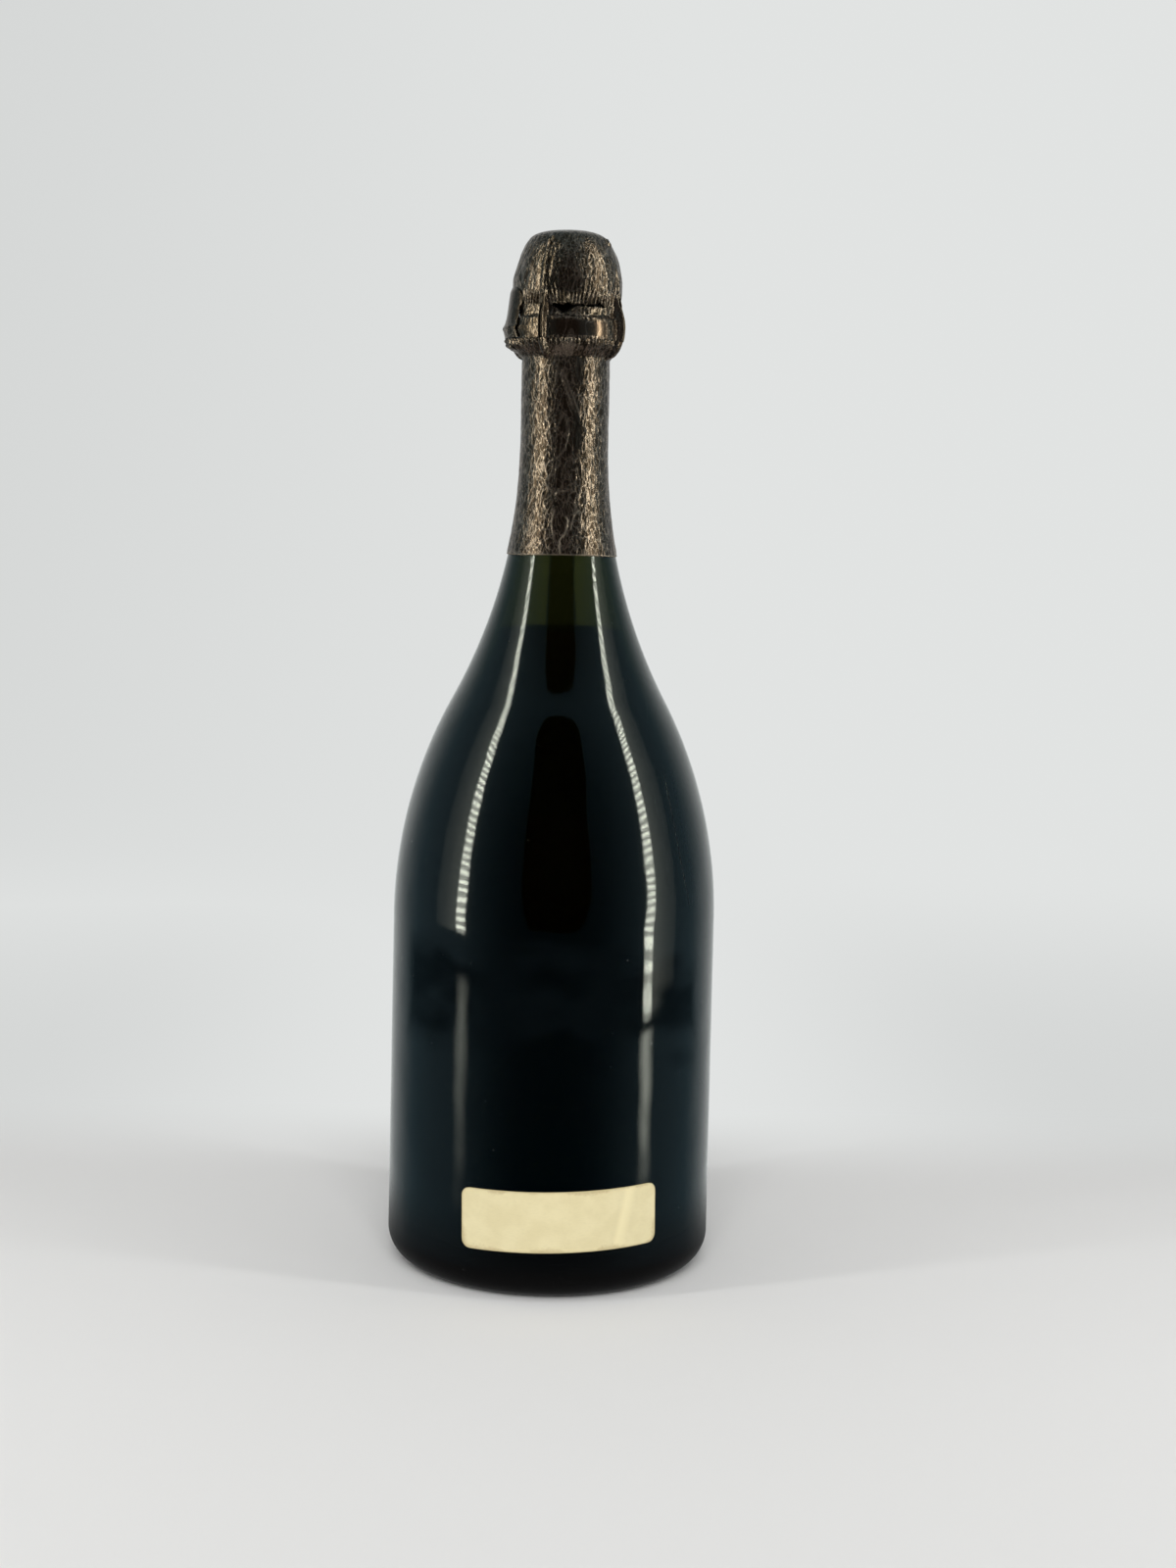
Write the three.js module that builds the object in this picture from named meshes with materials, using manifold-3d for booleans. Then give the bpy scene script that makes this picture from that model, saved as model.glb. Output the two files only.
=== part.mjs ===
// A sealed 75 cl champagne bottle with its closure: glass, wine, cork, muselet (the wire cage) and foil.
// Millimetres, +Z up. The origin is the centre of the base, and the back label faces -Y.
// An azimuth is measured from -Y towards +X. Angles are in degrees where a size names them.
import * as THREE from "three";
import { mergeVertices } from "three/addons/utils/BufferGeometryUtils.js";
import Module from "manifold-3d";

const wasm = await Module();
wasm.setup();

// Glass body, from the foot upwards
const FOOT_RADIUS = 47.5; // just above the heel, where the bottle is widest
const BODY_RADIUS = 47.15; // where the straight side ends
const HEEL_RADIUS = 9;
const SHOULDER_START = 102; // height where the straight side ends
const SHOULDER_RISE = 138; // height of the S-shaped shoulder
const SHOULDER_RADIUS = 135; // its convex arc, seen from the side
const NECK_RADIUS = 12.3;
const NECK_LENGTH = 27.7; // straight neck below the ring
const SIDE_WALL = 5;
const BASE_WALL = 9;
const INNER_HEEL_RADIUS = 6;
const PUNT_RADIUS = 35.5; // inner edge of the flat ring that the bottle stands on
const PUNT_DEPTH = 34;
const PUNT_TIP = 16; // how broad the rounded tip of the punt is
const PUNT_FLARE = 10.6; // run of the punt's steep lower part
const PUNT_RISE = 17; // and its height

// Finish: the ring, the lip and the mouth
const RING_RADIUS = 15.9;
const RING_HEIGHT = 6.5;
const RING_EDGE = 1.2;
const LIP_RADIUS = 13.9;
const LIP_HEIGHT = 3.3;
const LIP_EDGE = 1.2;
const MOUTH_RADIUS = 8.9;
const MOUTH_EDGE = 0.6;

// Wine
const FILL_DEPTH = 91.3; // from the lip down to the wine
const WINE_GAP = 0.15;

// Cork: an agglomerate stopper with two natural discs glued to its foot
const CORK_CLEARANCE = 0.1;
const CORK_INSERTED = 24;
const CORK_DISC = 5.5;
const GLUE_LINE = 0.05;
const SEAT_GAP = 0.2;
const HEAD_RADIUS = 15;
const HEAD_HEIGHT = 17.2;
const HEAD_FOOT_RADIUS = 12.6; // where the mushroom head meets the lip
const HEAD_TOP_RADIUS = 10.2; // its flat top under the cap
const HEAD_BULGE = 4.5; // height of its lower curve
const HEAD_SIDE = 2; // height of its straight side
const HEAD_SHOULDER = 4.4; // how round its upper curve is

// Muselet: a cap, a crown ring with twisted legs, and a belt under the ring of the bottle
const WIRE_RADIUS = 0.5;
const LEG_RADIUS = 0.75; // two wires twisted together, across the pair
const LEG_WAIST = 0.52; // and across the hollow between them
const LEG_BITE = 0.55; // how far a leg is pressed into the cork
const GROOVE_DEPTH = 1;
const LEG_COUNT = 4;
const LEG_AZIMUTH = -25; // the first leg
const LEG_TURNS = 5;
const LEG_ANGLE = 8; // half-width of the ridge or groove that a leg makes
const LEG_GAP = 0.15; // from the ring of the bottle
const CROWN_RADIUS = 9.4;
const CAP_RADIUS = 10.8;
const CAP_DOME_RADIUS = 8.4;
const CAP_DOME_HEIGHT = 3.85;
const CAP_SKIRT = 0.7;
const CAP_SHEET = 0.4;
const BELT_GAP = 0.5; // from the neck
const BELT_DROP = 1.8; // from the ring's underside to the belt's centre
const FOOT_GAP = 0.25; // between a leg's hooked foot and the belt

// Eyelet of the belt, a twisted stem with a loop, folded up against the ring of the bottle
const EYELET_AZIMUTH = -78;
const EYELET_WIDTH = 9.2;
const EYELET_HEIGHT = 10;
const EYELET_STEM = 3.4;
const EYELET_LEAN = 1.25; // how much nearer the axis its top is than its foot
const EYELET_STAND_OFF = 0.6; // from the ring of the bottle
const EYELET_GAP = 0.35; // from the belt's stub

// Foil
const FOIL = 0.35;
const FOIL_GAP = 0.2; // from what the hood covers
const COLLAR_GAP = 0.15; // from the glass
const COLLAR_LENGTH = 59.9; // below the ring
const TUCK = 4.9; // how far below the ring the collar leaves the neck
const RIM_RISE = 0.9; // the collar's rim, above the ring's underside
const TEAR_GAP = 0.3; // along the line where the hood parts from the collar
const TAB_WIDTH = 13;
const TAB_CORNER = 4;
const TAB_MARGIN = 0.8; // above the eyelet
const TAB_SIDE_GAP = 0.4;
const TAB_ANGLE = 30; // half-width of the swelling that the eyelet makes
const TAB_FADE = 4; // height over which it dies away above the tab

// Back label
const LABEL_WIDTH = 54.6; // straight across
const LABEL_HEIGHT = 17.4;
const LABEL_FOOT = 14.8; // height of its lower edge
const LABEL_AZIMUTH = 4.6;
const LABEL_TILT = 1.2; // right end up
const LABEL_CORNER = 3;
const PAPER = 0.2;
const PASTE = 0.1;

// Facets
const GLASS_SIDES = 40;
const CLOSURE_SIDES = 36;
const LABEL_SIDES = 72;
const WIRE_SIDES = 6;
const ARC_DIVISIONS = 3;
const HOOP_STEPS = 30;
const LEG_STEPS = 26;
const STUB_STEPS = 6;
const TUCK_ROWS = 6;

// Heights and radii that follow from the sizes above
const NECK_START = SHOULDER_START + SHOULDER_RISE;
const RING_FOOT = NECK_START + NECK_LENGTH;
const RING_TOP = RING_FOOT + RING_HEIGHT;
const LIP_TOP = RING_TOP + LIP_HEIGHT;
const FILL_LEVEL = LIP_TOP - FILL_DEPTH;
const CORK_FOOT = LIP_TOP - CORK_INSERTED;
const CORK_RADIUS = MOUTH_RADIUS - CORK_CLEARANCE;
const HEAD_FOOT = LIP_TOP + SEAT_GAP;
const HEAD_WIDEST = HEAD_FOOT + HEAD_BULGE + HEAD_SIDE; // top of the head's straight side
const HEAD_TOP = HEAD_FOOT + HEAD_HEIGHT;
const CAP_RIM = HEAD_TOP + SEAT_GAP + CAP_SHEET; // upper face of the cap's rim
const CAP_TOP = CAP_RIM + CAP_DOME_HEIGHT;
const CROWN_HEIGHT = CAP_RIM + SEAT_GAP + WIRE_RADIUS;
const BELT_RADIUS = NECK_RADIUS + BELT_GAP + WIRE_RADIUS;
const BELT_HEIGHT = RING_FOOT - BELT_DROP;
const COLLAR_RIM = RING_FOOT + RIM_RISE;
const COLLAR_FOOT = RING_FOOT - COLLAR_LENGTH;
const TUCK_FOOT = RING_FOOT - TUCK;
const HOOD_RIM = COLLAR_RIM + TEAR_GAP;
const EYELET_RADIUS = RING_RADIUS + EYELET_STAND_OFF + WIRE_RADIUS;
const EYELET_FOOT = HOOD_RIM + TEAR_GAP;
const EYELET_LENGTH = EYELET_STEM + EYELET_HEIGHT;
const TAB_TOP = EYELET_FOOT + EYELET_LENGTH + TAB_MARGIN;

const radians = THREE.MathUtils.degToRad;
const point = (radius, height) => new THREE.Vector2(radius, height);

// The place at a radius, an azimuth in radians and a height.
function polar(radius, azimuth, height) {
  return new THREE.Vector3(radius * Math.sin(azimuth), -radius * Math.cos(azimuth), height);
}

// The radius at a height of an outline, whose points are joined by straight lines.
function radiusAt(outline, height) {
  for (let i = 1; i < outline.length; i++) {
    const [a, b] = [outline[i - 1], outline[i]];
    const between = (height - a.y) * (height - b.y) <= 0;
    if (between && a.y !== b.y) return THREE.MathUtils.mapLinear(height, a.y, b.y, a.x, b.x);
  }
  const nearer = (a, b) => (Math.abs(b.y - height) < Math.abs(a.y - height) ? b : a);
  return outline.reduce(nearer).x;
}

// Revolves an outline that runs anticlockwise, with the radius as x and the height as y.
function revolve(outline, sides) {
  return new THREE.LatheGeometry(outline, sides, radians(LEG_AZIMUTH)).rotateX(Math.PI / 2);
}

// The outline of a shell: its outer side upwards, its inner side downwards, and back to the start.
function shellOutline(outer, inner) {
  return [...outer, ...inner.toReversed(), outer[0]];
}

// Pushes the points of a revolved geometry outwards by push(azimuth, height).
function swell(geometry, push) {
  const place = geometry.getAttribute("position");
  for (let i = 0; i < place.count; i++) {
    const [x, y] = [place.getX(i), place.getY(i)];
    const radius = Math.hypot(x, y);
    if (radius === 0) continue;
    const grown = 1 + push(Math.atan2(x, -y), place.getZ(i)) / radius;
    place.setXY(i, x * grown, y * grown);
  }
  return geometry;
}

// A ridge that is 1 at its centre and dies away past an angle, the flatter the higher its power.
function ridge(azimuth, centre, angle, power) {
  const turn = azimuth - radians(centre);
  const apart = Math.atan2(Math.sin(turn), Math.cos(turn));
  return Math.exp(-(Math.abs(apart / radians(angle)) ** power));
}

const legAzimuths = Array.from({ length: LEG_COUNT }, (_, i) => LEG_AZIMUTH + (i * 360) / LEG_COUNT);

// One narrow ridge for each leg of the muselet, and a broad one for the eyelet.
function legRidges(azimuth) {
  return Math.max(...legAzimuths.map((leg) => ridge(azimuth, leg, LEG_ANGLE, 2)));
}
function eyeletRidge(azimuth) {
  return ridge(azimuth, EYELET_AZIMUTH, TAB_ANGLE, 4);
}

// How far out a round bar of this radius along a curve reaches at a height, or 0 where it isn't.
function reach(curve, radius, height) {
  let most = 0;
  for (const place of curve.getPoints(4 * LEG_STEPS)) {
    const half = radius ** 2 - (place.z - height) ** 2;
    if (half > 0) most = Math.max(most, Math.hypot(place.x, place.y) + Math.sqrt(half));
  }
  return most;
}

// Carries a section along a curve, turning it round the curve on the way. A closed curve has no ends.
function sweep(curve, steps, section, { closed = false, turns = 0 } = {}) {
  const frames = curve.computeFrenetFrames(steps, closed);
  const rings = closed ? steps : steps + 1;
  const sides = section.length;
  const places = [];
  const faces = [];
  for (let i = 0; i < rings; i++) {
    const twist = (2 * Math.PI * turns * i) / steps;
    for (const corner of section) {
      const turned = corner.clone().rotateAround(new THREE.Vector2(), twist);
      const place = curve.getPointAt(i / steps);
      place.addScaledVector(frames.normals[i], turned.x);
      place.addScaledVector(frames.binormals[i], turned.y);
      places.push(place);
    }
  }
  for (let i = 0; i < steps; i++) {
    const here = i * sides;
    const next = ((i + 1) % rings) * sides;
    for (let j = 0; j < sides; j++) {
      const k = (j + 1) % sides;
      faces.push(here + j, here + k, next + k, here + j, next + k, next + j);
    }
  }
  if (!closed) {
    const first = places.push(curve.getPointAt(0)) - 1;
    const last = places.push(curve.getPointAt(1)) - 1;
    for (let j = 0; j < sides; j++) {
      const k = (j + 1) % sides;
      faces.push(first, k, j, last, steps * sides + j, steps * sides + k);
    }
  }
  return new THREE.BufferGeometry().setFromPoints(places).setIndex(faces);
}

// The sections of a single wire and of two wires twisted together.
function oval(across, up) {
  return new THREE.EllipseCurve(0, 0, across, up).getPoints(WIRE_SIDES).slice(0, WIRE_SIDES);
}
const wireSection = oval(WIRE_RADIUS, WIRE_RADIUS);
const twistedSection = oval(LEG_RADIUS, LEG_WAIST);

// A level hoop as a closed curve.
function hoop(radius, height) {
  const place = (_, i) => polar(radius, (2 * Math.PI * i) / HOOP_STEPS, height);
  return new THREE.CatmullRomCurve3(Array.from({ length: HOOP_STEPS }, place), true);
}

// A route of points at one azimuth as a smooth curve.
function uprightCurve(route, azimuth) {
  return new THREE.CatmullRomCurve3(route.map((at) => polar(at.x, radians(azimuth), at.y)));
}

// A geometry as a solid that can be joined and cut, and back again.
function solidOf(geometry) {
  const bare = geometry.clone();
  bare.deleteAttribute("normal");
  bare.deleteAttribute("uv");
  const merged = mergeVertices(bare);
  const vertProperties = new Float32Array(merged.getAttribute("position").array);
  const triVerts = new Uint32Array(merged.index.array);
  return new wasm.Manifold(new wasm.Mesh({ numProp: 3, vertProperties, triVerts }));
}
function geometryOf(solid) {
  const mesh = solid.getMesh();
  const geometry = new THREE.BufferGeometry();
  geometry.setAttribute("position", new THREE.BufferAttribute(mesh.vertProperties, 3));
  geometry.setIndex(new THREE.BufferAttribute(mesh.triVerts, 1));
  geometry.computeVertexNormals();
  return geometry;
}
function join(...geometries) {
  return geometryOf(geometries.map(solidOf).reduce((whole, next) => whole.add(next)));
}

// An upright plate with round corners that reaches from the axis out past the glass at an azimuth,
// with its lower edge at a height, turned in its own plane by a tilt.
function plate({ width, height, low, high, azimuth, foot, tilt = 0 }) {
  const [x, y] = [width / 2, height / 2];
  const shape = new THREE.Shape();
  shape.moveTo(-x, low - y);
  shape.quadraticCurveTo(-x, -y, low - x, -y);
  shape.lineTo(x - low, -y);
  shape.quadraticCurveTo(x, -y, x, low - y);
  shape.lineTo(x, y - high);
  shape.quadraticCurveTo(x, y, x - high, y);
  shape.lineTo(high - x, y);
  shape.quadraticCurveTo(-x, y, -x, y - high);
  shape.closePath();
  const across = polar(1, radians(azimuth + 90), 0);
  const outwards = polar(1, radians(azimuth), 0);
  const stand = new THREE.Matrix4().makeBasis(across, new THREE.Vector3(0, 0, 1), outwards);
  const depth = FOOT_RADIUS + HEEL_RADIUS;
  const options = { depth, bevelEnabled: false, curveSegments: ARC_DIVISIONS };
  const geometry = new THREE.ExtrudeGeometry(shape, options).rotateZ(radians(tilt));
  return geometry.applyMatrix4(stand).translate(0, 0, foot + y);
}

// Materials
function finish(color, roughness, metalness, opacity = 1) {
  const transparent = opacity < 1;
  return new THREE.MeshStandardMaterial({ color, roughness, metalness, opacity, transparent });
}
const glass = finish(0x10170d, 0.06, 0, 0.9);
const wineLiquid = finish(0x6b4a14, 0.05, 0, 0.85);
const agglomerate = finish(0xb98d5c, 0.9, 0);
const naturalCork = finish(0xc79a68, 0.85, 0);
const tinplate = finish(0x6f6a58, 0.35, 0.9);
const steelWire = finish(0x9b9a94, 0.35, 1);
const bronzeFoil = finish(0x4a4030, 0.38, 0.85);
const paper = finish(0xe3d9b2, 0.8, 0);

function piece(name, geometry, material) {
  const mesh = new THREE.Mesh(geometry, material);
  mesh.name = name;
  return mesh;
}

// The two tangent arcs of a shoulder: the angle that both turn through, and the upper arc's radius.
function shoulderArcs(wide, narrow) {
  const turn = 2 * Math.atan2(wide - narrow, SHOULDER_RISE);
  return { turn, upper: SHOULDER_RISE / Math.sin(turn) - SHOULDER_RADIUS };
}

// The underside of the glass, from the middle of the punt out to the ring that the bottle stands on.
function glassUnderside() {
  const path = new THREE.Path().moveTo(0, PUNT_DEPTH);
  const steep = PUNT_RADIUS - PUNT_FLARE;
  path.bezierCurveTo(PUNT_TIP, PUNT_DEPTH, steep, PUNT_RISE, PUNT_RADIUS, 0);
  return path.getPoints(2 * ARC_DIVISIONS);
}

// The outer side of the glass, from the heel up over the ring and the lip to the mouth.
function glassSide() {
  const path = new THREE.Path();
  path.absarc(FOOT_RADIUS - HEEL_RADIUS, HEEL_RADIUS, HEEL_RADIUS, -Math.PI / 2, 0, false);
  path.lineTo(BODY_RADIUS, SHOULDER_START);
  const { turn, upper } = shoulderArcs(BODY_RADIUS, NECK_RADIUS);
  path.absarc(BODY_RADIUS - SHOULDER_RADIUS, SHOULDER_START, SHOULDER_RADIUS, 0, turn, false);
  path.absarc(NECK_RADIUS + upper, NECK_START, upper, Math.PI + turn, Math.PI, true);
  path.lineTo(NECK_RADIUS, RING_FOOT);
  path.lineTo(RING_RADIUS - RING_EDGE, RING_FOOT);
  path.quadraticCurveTo(RING_RADIUS, RING_FOOT, RING_RADIUS, RING_FOOT + RING_EDGE);
  path.lineTo(RING_RADIUS, RING_TOP - RING_EDGE);
  path.quadraticCurveTo(RING_RADIUS, RING_TOP, RING_RADIUS - RING_EDGE, RING_TOP);
  path.lineTo(LIP_RADIUS, RING_TOP);
  path.lineTo(LIP_RADIUS, LIP_TOP - LIP_EDGE);
  path.quadraticCurveTo(LIP_RADIUS, LIP_TOP, LIP_RADIUS - LIP_EDGE, LIP_TOP);
  path.lineTo(MOUTH_RADIUS + MOUTH_EDGE, LIP_TOP);
  path.lineTo(MOUTH_RADIUS, LIP_TOP - MOUTH_EDGE);
  return path.getPoints(ARC_DIVISIONS);
}

// The inside of the glass drawn in by an inset: the shoulder and the side, from the neck downwards.
function glassInside(inset) {
  const wide = BODY_RADIUS - SIDE_WALL - inset;
  const narrow = MOUTH_RADIUS - inset;
  const { turn, upper } = shoulderArcs(wide, narrow);
  const path = new THREE.Path();
  path.absarc(narrow + upper, NECK_START, upper, Math.PI, Math.PI + turn, false);
  path.absarc(wide - SHOULDER_RADIUS, SHOULDER_START, SHOULDER_RADIUS, turn, 0, true);
  return path.getPoints(ARC_DIVISIONS);
}

// The same inside from the foot of the side, round the inner heel and over the punt to the axis.
function glassFloor(inset) {
  const foot = FOOT_RADIUS - SIDE_WALL - inset;
  const heel = INNER_HEEL_RADIUS - inset;
  const floor = BASE_WALL + inset;
  const steep = PUNT_RADIUS - PUNT_FLARE + floor;
  const top = PUNT_DEPTH + floor;
  const path = new THREE.Path();
  path.absarc(foot - heel, floor + heel, heel, 0, -Math.PI / 2, true);
  path.bezierCurveTo(steep, PUNT_RISE + inset, PUNT_TIP, top, 0, top);
  return path.getPoints(ARC_DIVISIONS);
}

const bottleSide = glassSide();

function glassBottle() {
  const outline = [...glassUnderside(), ...bottleSide, ...glassInside(0), ...glassFloor(0)];
  return piece("glass_bottle", revolve(outline, GLASS_SIDES), glass);
}

// The wine fills the inside up to its level.
function wine() {
  const side = glassInside(WINE_GAP).toReversed();
  const wetted = side.filter((at) => at.y < FILL_LEVEL);
  const level = [point(radiusAt(side, FILL_LEVEL), FILL_LEVEL), point(0, FILL_LEVEL)];
  const outline = [...glassFloor(WINE_GAP).toReversed(), ...wetted, ...level];
  return piece("wine", revolve(outline, GLASS_SIDES), wineLiquid);
}

// The mushroom head's side, from the lip up to its flat top.
function headSide() {
  const path = new THREE.Path().moveTo(HEAD_FOOT_RADIUS, HEAD_FOOT);
  path.quadraticCurveTo(HEAD_RADIUS, HEAD_FOOT, HEAD_RADIUS, HEAD_WIDEST - HEAD_SIDE);
  path.lineTo(HEAD_RADIUS, HEAD_WIDEST);
  path.quadraticCurveTo(HEAD_RADIUS, HEAD_TOP - HEAD_SHOULDER, HEAD_TOP_RADIUS, HEAD_TOP);
  return path.getPoints(ARC_DIVISIONS);
}

// The agglomerate stopper, with the grooves that the muselet's legs press into its head.
function corkBody() {
  const foot = CORK_FOOT + 2 * (CORK_DISC + GLUE_LINE);
  const shank = [point(0, foot), point(CORK_RADIUS, foot), point(CORK_RADIUS, HEAD_FOOT)];
  const outline = [...shank, ...headSide(), point(0, HEAD_TOP)];
  const groove = (azimuth, height) => (height > HEAD_FOOT ? -GROOVE_DEPTH * legRidges(azimuth) : 0);
  return piece("cork_body", swell(revolve(outline, CLOSURE_SIDES), groove), agglomerate);
}

// One of the two natural cork discs at the foot of the stopper, counted from below.
function corkDisc(name, index) {
  const disc = new THREE.CylinderGeometry(CORK_RADIUS, CORK_RADIUS, CORK_DISC, CLOSURE_SIDES);
  const foot = CORK_FOOT + index * (CORK_DISC + GLUE_LINE);
  disc.rotateX(Math.PI / 2).translate(0, 0, foot + CORK_DISC / 2);
  return piece(name, disc, naturalCork);
}

// The pressed metal cap between the cork and the wire.
function museletCap() {
  const [under, dome] = [CAP_RIM - CAP_SHEET, CAP_DOME_RADIUS - CAP_SHEET];
  const path = new THREE.Path().moveTo(0, CAP_TOP - CAP_SHEET);
  path.quadraticCurveTo(dome, CAP_TOP - CAP_SHEET, dome, under);
  path.lineTo(CAP_RADIUS - CAP_SHEET, under);
  path.lineTo(CAP_RADIUS - CAP_SHEET, CAP_RIM - CAP_SKIRT);
  path.lineTo(CAP_RADIUS, CAP_RIM - CAP_SKIRT);
  path.lineTo(CAP_RADIUS, CAP_RIM);
  path.lineTo(CAP_DOME_RADIUS, CAP_RIM);
  path.quadraticCurveTo(CAP_DOME_RADIUS, CAP_TOP, 0, CAP_TOP);
  return piece("muselet_cap", revolve(path.getPoints(ARC_DIVISIONS), CLOSURE_SIDES), tinplate);
}

// One leg: over the cap's rim, down the groove in the cork, outside the ring and hooked under the belt.
function legCurve(azimuth) {
  const head = headSide();
  const lift = LEG_RADIUS - LEG_BITE;
  const outside = RING_RADIUS + LEG_GAP + LEG_RADIUS;
  const hook = WIRE_RADIUS + FOOT_GAP + LEG_RADIUS;
  const [high, low] = [HEAD_TOP - HEAD_SHOULDER / 2, HEAD_TOP - HEAD_SHOULDER];
  const route = [
    point(CROWN_RADIUS, CROWN_HEIGHT + LEG_RADIUS - WIRE_RADIUS),
    point(CAP_RADIUS + LEG_RADIUS, CAP_RIM + LEG_RADIUS),
    point(radiusAt(head, high) + lift, high),
    point(radiusAt(head, low) + lift, low),
    point(HEAD_RADIUS + lift, HEAD_WIDEST),
    point(HEAD_RADIUS + lift, HEAD_FOOT + HEAD_BULGE / 2),
    point(outside, RING_TOP),
    point(outside, RING_FOOT + 2 * RING_EDGE),
    point(outside - RIM_RISE, RING_FOOT - RIM_RISE),
    point(BELT_RADIUS + hook * Math.SQRT1_2, BELT_HEIGHT - hook * Math.SQRT1_2),
    point(BELT_RADIUS, BELT_HEIGHT - hook),
  ];
  return uprightCurve(route, azimuth);
}

function museletFrame() {
  const crown = sweep(hoop(CROWN_RADIUS, CROWN_HEIGHT), HOOP_STEPS, wireSection, { closed: true });
  const twisted = { turns: LEG_TURNS };
  const legs = legAzimuths.map((at) => sweep(legCurve(at), LEG_STEPS, twistedSection, twisted));
  return piece("muselet_frame", join(crown, ...legs), steelWire);
}

// The belt's stub, which runs out under the ring to the eyelet.
function stubCurve() {
  const route = [
    point(BELT_RADIUS, BELT_HEIGHT),
    point((BELT_RADIUS + EYELET_RADIUS) / 2, BELT_HEIGHT + WIRE_RADIUS),
    point(EYELET_RADIUS - WIRE_RADIUS, RING_FOOT - WIRE_RADIUS),
    point(EYELET_RADIUS, EYELET_FOOT - EYELET_GAP),
  ];
  return uprightCurve(route, EYELET_AZIMUTH);
}

function museletBelt() {
  const belt = sweep(hoop(BELT_RADIUS, BELT_HEIGHT), HOOP_STEPS, wireSection, { closed: true });
  const stub = sweep(stubCurve(), STUB_STEPS, wireSection);
  return piece("muselet_belt", join(belt, stub), steelWire);
}

// The radius, at a height above the eyelet's foot, of the cone that the eyelet lies on.
function eyeletCone(rise) {
  return EYELET_RADIUS - (EYELET_LEAN * rise) / EYELET_LENGTH;
}

// The place on that cone so far round it from the eyelet's middle, and so far above its foot.
function onEyelet(across, rise) {
  const radius = eyeletCone(rise);
  return polar(radius, radians(EYELET_AZIMUTH) + across / radius, EYELET_FOOT + rise);
}

function museletEyelet() {
  const loopFoot = EYELET_STEM + WIRE_RADIUS;
  const halfWidth = EYELET_WIDTH / 2 - WIRE_RADIUS;
  const halfHeight = EYELET_HEIGHT / 2 - WIRE_RADIUS;
  const place = (_, i) => {
    const turn = (2 * Math.PI * i) / LEG_STEPS;
    return onEyelet(halfWidth * Math.sin(turn), loopFoot + halfHeight * (1 - Math.cos(turn)));
  };
  const loop = new THREE.CatmullRomCurve3(Array.from({ length: LEG_STEPS }, place), true);
  const stem = new THREE.LineCurve3(onEyelet(0, 0), onEyelet(0, loopFoot));
  const solid = join(
    sweep(loop, LEG_STEPS, wireSection, { closed: true }),
    sweep(stem, STUB_STEPS, twistedSection, { turns: 1 }),
  );
  return piece("muselet_eyelet", solid, steelWire);
}

// The inner radius of the tear tab at a height, clear of the eyelet's stem.
function tabRadius(height) {
  return eyeletCone(height - EYELET_FOOT) + LEG_RADIUS + FOIL_GAP;
}

// The outline of the tab, or of the notch that takes it, larger all round by a gap.
function tabPlate(gap) {
  return plate({
    width: TAB_WIDTH + 2 * gap,
    height: TAB_TOP - HOOD_RIM + 2 * gap,
    low: gap,
    high: TAB_CORNER + gap,
    azimuth: EYELET_AZIMUTH,
    foot: HOOD_RIM - gap,
  });
}

// The tear tab: the flap of the hood's foil that covers the eyelet and opens with it.
function foilTearTab() {
  const inner = [HOOD_RIM, TAB_TOP].map((height) => point(tabRadius(height), height));
  const outer = inner.map((at) => point(at.x + FOIL, at.y));
  const cone = revolve(shellOutline(outer, inner), CLOSURE_SIDES);
  const solid = solidOf(cone).intersect(solidOf(tabPlate(0)));
  return piece("foil_tear_tab", geometryOf(solid), bronzeFoil);
}

// The hood's outline from its rim up to the middle of its top, at a distance from what it covers.
// It never narrows downwards, so that the hood lifts straight off.
function hoodOutline(away) {
  const head = HEAD_RADIUS + away;
  const edge = CAP_RADIUS + SEAT_GAP + away;
  const path = new THREE.Path().moveTo(RING_RADIUS + away, HOOD_RIM);
  path.lineTo(RING_RADIUS + away, RING_TOP);
  path.lineTo(head, LIP_TOP);
  path.lineTo(head, HEAD_WIDEST);
  path.quadraticCurveTo(head, HEAD_TOP - HEAD_SHOULDER, edge, CROWN_HEIGHT + WIRE_RADIUS);
  path.quadraticCurveTo(CROWN_RADIUS, CAP_TOP + away, 0, CAP_TOP + away);
  return path.getPoints(ARC_DIVISIONS);
}

// The foil hood, drawn over the legs and the eyelet, with a notch in its rim for the tear tab.
function foilHood() {
  const inner = hoodOutline(FOIL_GAP);
  const outer = hoodOutline(FOIL_GAP + FOIL);
  const leg = legCurve(0);
  const swelling = (azimuth, height) => {
    const base = radiusAt(inner, height);
    const fade = 1 - THREE.MathUtils.smoothstep(height, TAB_TOP, TAB_TOP + TAB_FADE);
    const overLeg = legRidges(azimuth) * (reach(leg, LEG_RADIUS + FOIL_GAP, height) - base);
    const overEyelet = eyeletRidge(azimuth) * fade * (tabRadius(height) - base);
    return Math.max(overLeg, overEyelet, 0);
  };
  const shell = swell(revolve(shellOutline(outer, inner), CLOSURE_SIDES), swelling);
  const solid = solidOf(shell).subtract(solidOf(tabPlate(TAB_SIDE_GAP)));
  return piece("foil_hood", geometryOf(solid), bronzeFoil);
}

// The collar's outline upwards: along the glass, then out from the neck to just under the hood's rim.
function collarOutline(thickness) {
  const along = bottleSide.filter((at) => at.y > COLLAR_FOOT && at.y < TUCK_FOOT);
  const neck = [
    point(radiusAt(bottleSide, COLLAR_FOOT), COLLAR_FOOT),
    ...along,
    point(NECK_RADIUS, TUCK_FOOT),
  ].map((at) => point(at.x + COLLAR_GAP + thickness, at.y));
  const from = neck.at(-1);
  const to = point(RING_RADIUS + FOIL_GAP + thickness, COLLAR_RIM);
  const row = (_, i) => from.clone().lerp(to, (i + 1) / TUCK_ROWS);
  return [...neck, ...Array.from({ length: TUCK_ROWS }, row)];
}

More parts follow.
